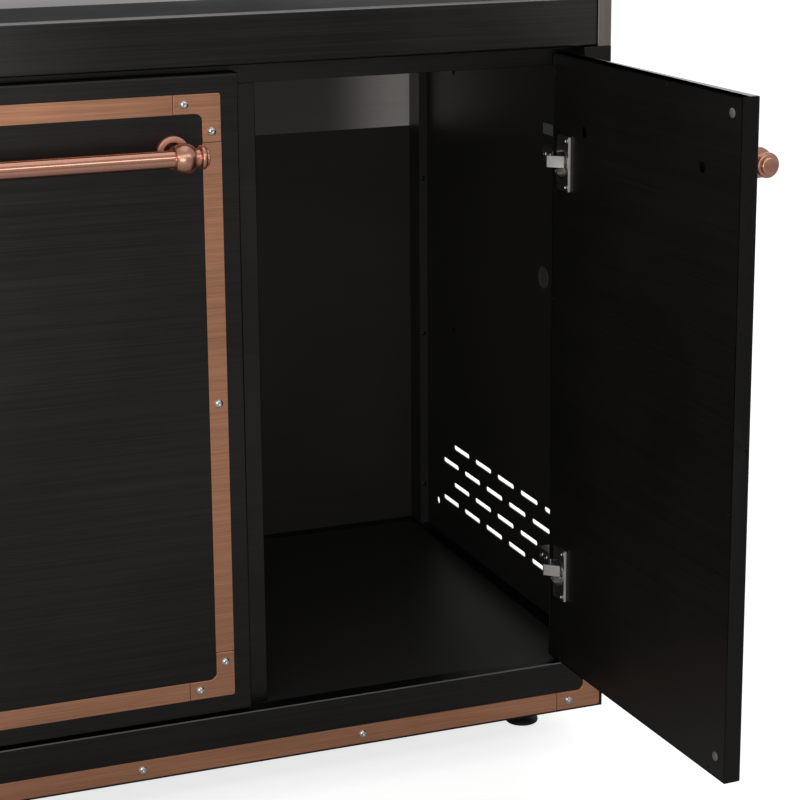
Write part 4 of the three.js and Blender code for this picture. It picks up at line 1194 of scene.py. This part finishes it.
class ISLAND_OT_small_fittings(bpy.types.Operator):
    """Adds the cable bush, the blank plate and the small screws."""

    bl_idname = "island.small_fittings"
    bl_label = "Small fittings"

    plate_inset: length("Blank plate inset", "From the front to the middle of the blank plate", 0.1565)
    plate_height: length("Blank plate height", "Height of the blank plate's middle", 0.727)
    plate_width: length("Blank plate width", "Width of the blank plate", 0.033)
    plate_tall: length("Blank plate size", "Height of the blank plate itself", 0.013)
    edge: length("Liner screw edge", "From a liner's edges to its screws", 0.006)

    # Places of the small screws: heights, depths from the front, and distances from a door's hinge edge
    POST_HEIGHTS = (0.172, 0.389, 0.606)
    WALL_SPOTS = ((0.453, 0.4145), (0.453, 0.760), (0.120, 0.300), (0.120, 0.640))
    ALONG_DOOR = (0.030, 0.138, 0.254, 0.368)
    FREE_EDGE_HEIGHTS = (0.689, 0.566, 0.411, 0.277)
    HINGE_EDGE_HEIGHTS = (0.816, 0.679, 0.555, 0.400)

    def execute(self, context):
        self.cable_bush()
        panel_low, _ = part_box("side_panel_right")
        half, tall, thickness, corner = self.plate_width / 2, self.plate_tall / 2, 0.8 * MM, 1.5 * MM
        plate = flat_bar(rectangle(-half, half, -tall, tall), thickness,
                         [(index, corner) for index in range(4)], sunk=0.0)
        new_piece("blank_plate", plate, "cabinet", "plate_grey",
                  place=Matrix.Translation((panel_low.x, FRONT + self.plate_inset, self.plate_height))
                  @ Matrix.Rotation(math.radians(-90), 4, "Z"))
        for side in SIDES:
            self.panel_screws(side)
            self.liner_screws(side)
        return {"FINISHED"}

    @staticmethod
    def cable_bush():
        """A grooved rubber ring in the cable hole, with a thin skin that a cable would pierce."""
        low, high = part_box("cable_grommet")
        middle, wall = (low + high) / 2, (high.x - low.x) / MM
        inner, neck, outer = 8.0, 12.0, 13.8
        half = [(inner, 0.6), (inner + 0.8, 0.0), (outer - 0.6, 0.0), (outer, 0.5), (outer, 1.1), (neck, 1.2)]
        ring = half + [(radius, wall - height) for radius, height in reversed(half)]
        hole = facing((low.x, middle.y, middle.z), (1.0, 0.0, 0.0))
        new_piece("cable_bush", turned(in_metres(ring), steps=48, ring=True), "cabinet", "bush_rubber",
                  place=hole, stands_for=("cable_grommet",))
        skin = [(0.0, 0.8), (inner + 0.3, 0.8), (inner + 0.3, 1.5), (0.0, 1.5)]
        new_piece("cable_bush_skin", turned(in_metres(skin), steps=48), "cabinet", "bush_rubber", place=hole)

    def panel_screws(self, side):
        """The screws of a rear post and of its side panel."""
        inside, post_inset, post_depth = HALF_WIDTH - 2 * MM, 5.8 * MM, 37 * MM
        places = [facing((inside - post_inset, DEPTH - post_depth, z), TO_FRONT) for z in self.POST_HEIGHTS]
        places += [facing((inside, y, z), (-1.0, 0.0, 0.0)) for y, z in self.WALL_SPOTS]
        heads_piece(f"cabinet_screws_{side}", PANEL_SCREW, places, "cabinet", "dark_screw", side_place(side))

    def liner_screws(self, side):
        spots = [(x, DOOR_TOP - self.edge) for x in self.ALONG_DOOR]
        spots += [(x, DOOR_BOTTOM + self.edge) for x in self.ALONG_DOOR]
        spots += [(DOOR_WIDTH - self.edge, z) for z in self.FREE_EDGE_HEIGHTS]
        spots += [(self.edge, z) for z in self.HINGE_EDGE_HEIGHTS]
        places = [facing((x, DOOR_THICKNESS, z), TO_BACK) for x, z in spots]
        heads_piece(f"liner_screws_{side}", LINER_SCREW, places, f"{side}_door", "dark_screw",
                    door_place(side))


# Stage

def softbox(name, place, target, width, height, power):
    data = bpy.data.lights.new(name, "AREA")
    data.shape = "RECTANGLE"
    data.size, data.size_y = width, height
    data.energy = power
    lamp = bpy.data.objects.new(name, data)
    lamp.matrix_world = (Matrix.Translation(place)
                         @ (Vector(target) - Vector(place)).to_track_quat("-Z", "Y").to_matrix().to_4x4())
    lamp.visible_camera = False
    bpy.context.scene.collection.objects.link(lamp)


MIDDLE_HEIGHT = 0.5
HANDLE_HEIGHT = 0.757


class ISLAND_OT_stage(bpy.types.Operator):
    """Sets the floor, the studio light and the camera."""

    bl_idname = "island.stage"
    bl_label = "Stage"

    yaw: FloatProperty(name="Yaw", description="Camera's turn from +Y towards +X", subtype="ANGLE",
                       default=math.radians(21.405))
    pitch: FloatProperty(name="Pitch", description="Camera's tilt below the horizon", subtype="ANGLE",
                         default=math.radians(13.453))
    roll: FloatProperty(name="Roll", description="Camera's roll", subtype="ANGLE",
                        default=math.radians(0.395))
    lens: FloatProperty(name="Lens", description="Focal length in millimetres", default=103.87)
    shift: FloatProperty(name="Shift", description="Upward shift of the camera's frame", default=-0.10)
    fill: FloatProperty(name="Fill", description="Brightness of the light all round the island", default=0.36)
    lift: FloatProperty(name="Floor lift", description="Extra brightness of the floor in view", default=0.75)
    backdrop: FloatProperty(name="Backdrop", description="Brightness of the backdrop in view", default=1.05)

    # From the middle of the island's front, on the ground, to the camera
    CAMERA_PLACE = (-0.7307, -2.3248, 1.1487)
    FLOOR_RADIUS = 30.0

    def execute(self, context):
        self.floor(context)
        self.studio(context)
        self.lamps()
        self.camera(context)
        return {"FINISHED"}

    def floor(self, context):
        disc = bmesh.new()
        bmesh.ops.create_circle(disc, cap_ends=True, segments=96, radius=self.FLOOR_RADIUS)
        mesh = bpy.data.meshes.new("floor")
        disc.to_mesh(mesh)
        disc.free()
        material, tree, shader = new_material("floor")
        cloud = group_node(tree, clouding_group(), {"Vector": object_place(tree), "Scale": 1.5})
        seen = tree.nodes.new("ShaderNodeLightPath").outputs["Is Camera Ray"]
        pale = shaded(tree, colours().floor, 0.005, cloud)
        dim = mix_colours(tree, seen, (0.60, 0.60, 0.60, 1.0), pale)
        lift = value_math(tree, "MULTIPLY", seen, self.lift)
        set_inputs(tree, shader, {"Base Color": dim, "Emission Strength": lift, "Roughness": 0.9,
                                  "Emission Color": (1.0, 1.0, 1.0, 1.0), "Specular IOR Level": 0.1})
        mesh.materials.append(material)
        ground = bpy.data.objects.new("floor", mesh)
        context.scene.collection.objects.link(ground)

    def studio(self, context):
        world = bpy.data.worlds.new("studio")
        world.use_nodes = True
        tree = world.node_tree
        seen = tree.nodes.new("ShaderNodeLightPath").outputs["Is Camera Ray"]
        strength = map_range(tree, seen, end=(self.fill, self.backdrop))
        set_inputs(tree, tree.nodes["Background"], {"Color": (1.0, 1.0, 1.0, 1.0), "Strength": strength})
        context.scene.world = world
        context.scene.view_settings.view_transform = "Standard"

    @staticmethod
    def lamps():
        """Softboxes, each with its place, its target, its width and height, and its power in watts."""
        middle = Vector((0.0, 0.0, MIDDLE_HEIGHT))
        handle = Vector((0.0, FRONT, HANDLE_HEIGHT))
        bay = middle + Vector((0.35, 0.5, 0.2))
        right = middle + Vector((0.35, 0.0, 0.0))
        softbox("key_softbox", handle + Vector((0.2, -2.60, 1.38)), handle, 3.8, 0.50, 10.0)
        softbox("top_softbox", middle + Vector((0.2, -0.1, 2.4)), middle, 2.2, 1.4, 3.5)
        softbox("back_softbox", middle + Vector((0.6, 3.4, 0.9)), middle, 4.4, 2.2, 36.0)
        softbox("left_softbox", handle + Vector((-1.9, -1.9, 1.0)), right, 1.0, 0.5, 3.5)
        softbox("low_softbox", middle + Vector((-0.8, -2.4, 0.2)), bay, 1.2, 0.7, 6.5)

    def camera(self, context):
        data = bpy.data.cameras.new("camera")
        data.sensor_width = 36.0
        data.lens = self.lens
        data.shift_y = self.shift
        data.clip_end = 100.0
        camera = bpy.data.objects.new("camera", data)
        context.scene.collection.objects.link(camera)
        flat = math.cos(self.pitch)
        forward = Vector((math.sin(self.yaw) * flat, math.cos(self.yaw) * flat, -math.sin(self.pitch)))
        level = Vector((math.cos(self.yaw), -math.sin(self.yaw), 0.0))
        down = forward.cross(level)
        right = math.cos(self.roll) * level + math.sin(self.roll) * down
        up = math.sin(self.roll) * level - math.cos(self.roll) * down
        turn = Matrix((right, up, -forward)).transposed().to_4x4()
        camera.matrix_world = TO_ROW @ Matrix.Translation(self.CAMERA_PLACE) @ turn
        context.scene.camera = camera


class ISLAND_PT_panel(bpy.types.Panel):
    """Lists the island's sizes, colours and pieces."""

    bl_idname = "ISLAND_PT_panel"
    bl_label = "Kitchen island"
    bl_space_type = "VIEW_3D"
    bl_region_type = "UI"
    bl_category = "Island"

    def draw(self, context):
        layout = self.layout
        for group in (context.scene.island_sizes, context.scene.island_colours):
            box = layout.box()
            for name in group.bl_rna.properties.keys():
                if name not in ("rna_type", "name"):
                    box.prop(group, name)
        for operator in OPERATORS:
            layout.operator(operator.bl_idname)


OPERATORS = (
    ISLAND_OT_worktop,
    ISLAND_OT_base,
    ISLAND_OT_shell,
    ISLAND_OT_doors,
    ISLAND_OT_copper_trim,
    ISLAND_OT_rivets,
    ISLAND_OT_handles,
    ISLAND_OT_hinges,
    ISLAND_OT_bumpers,
    ISLAND_OT_feet,
    ISLAND_OT_small_fittings,
    ISLAND_OT_stage,
)
CLASSES = (IslandSizes, IslandColours, *OPERATORS, ISLAND_PT_panel)


def register():
    for cls in CLASSES:
        bpy.utils.register_class(cls)
    bpy.types.Scene.island_sizes = PointerProperty(type=IslandSizes)
    bpy.types.Scene.island_colours = PointerProperty(type=IslandColours)


def unregister():
    del bpy.types.Scene.island_colours
    del bpy.types.Scene.island_sizes
    for cls in reversed(CLASSES):
        bpy.utils.unregister_class(cls)


def main():
    register()
    bpy.ops.island.worktop()
    bpy.ops.island.base()
    bpy.ops.island.shell()
    bpy.ops.island.doors()
    bpy.ops.island.copper_trim()
    bpy.ops.island.rivets()
    bpy.ops.island.handles()
    bpy.ops.island.hinges()
    bpy.ops.island.bumpers()
    bpy.ops.island.feet()
    bpy.ops.island.small_fittings()
    bpy.ops.island.stage()


if __name__ == "__main__":
    main()
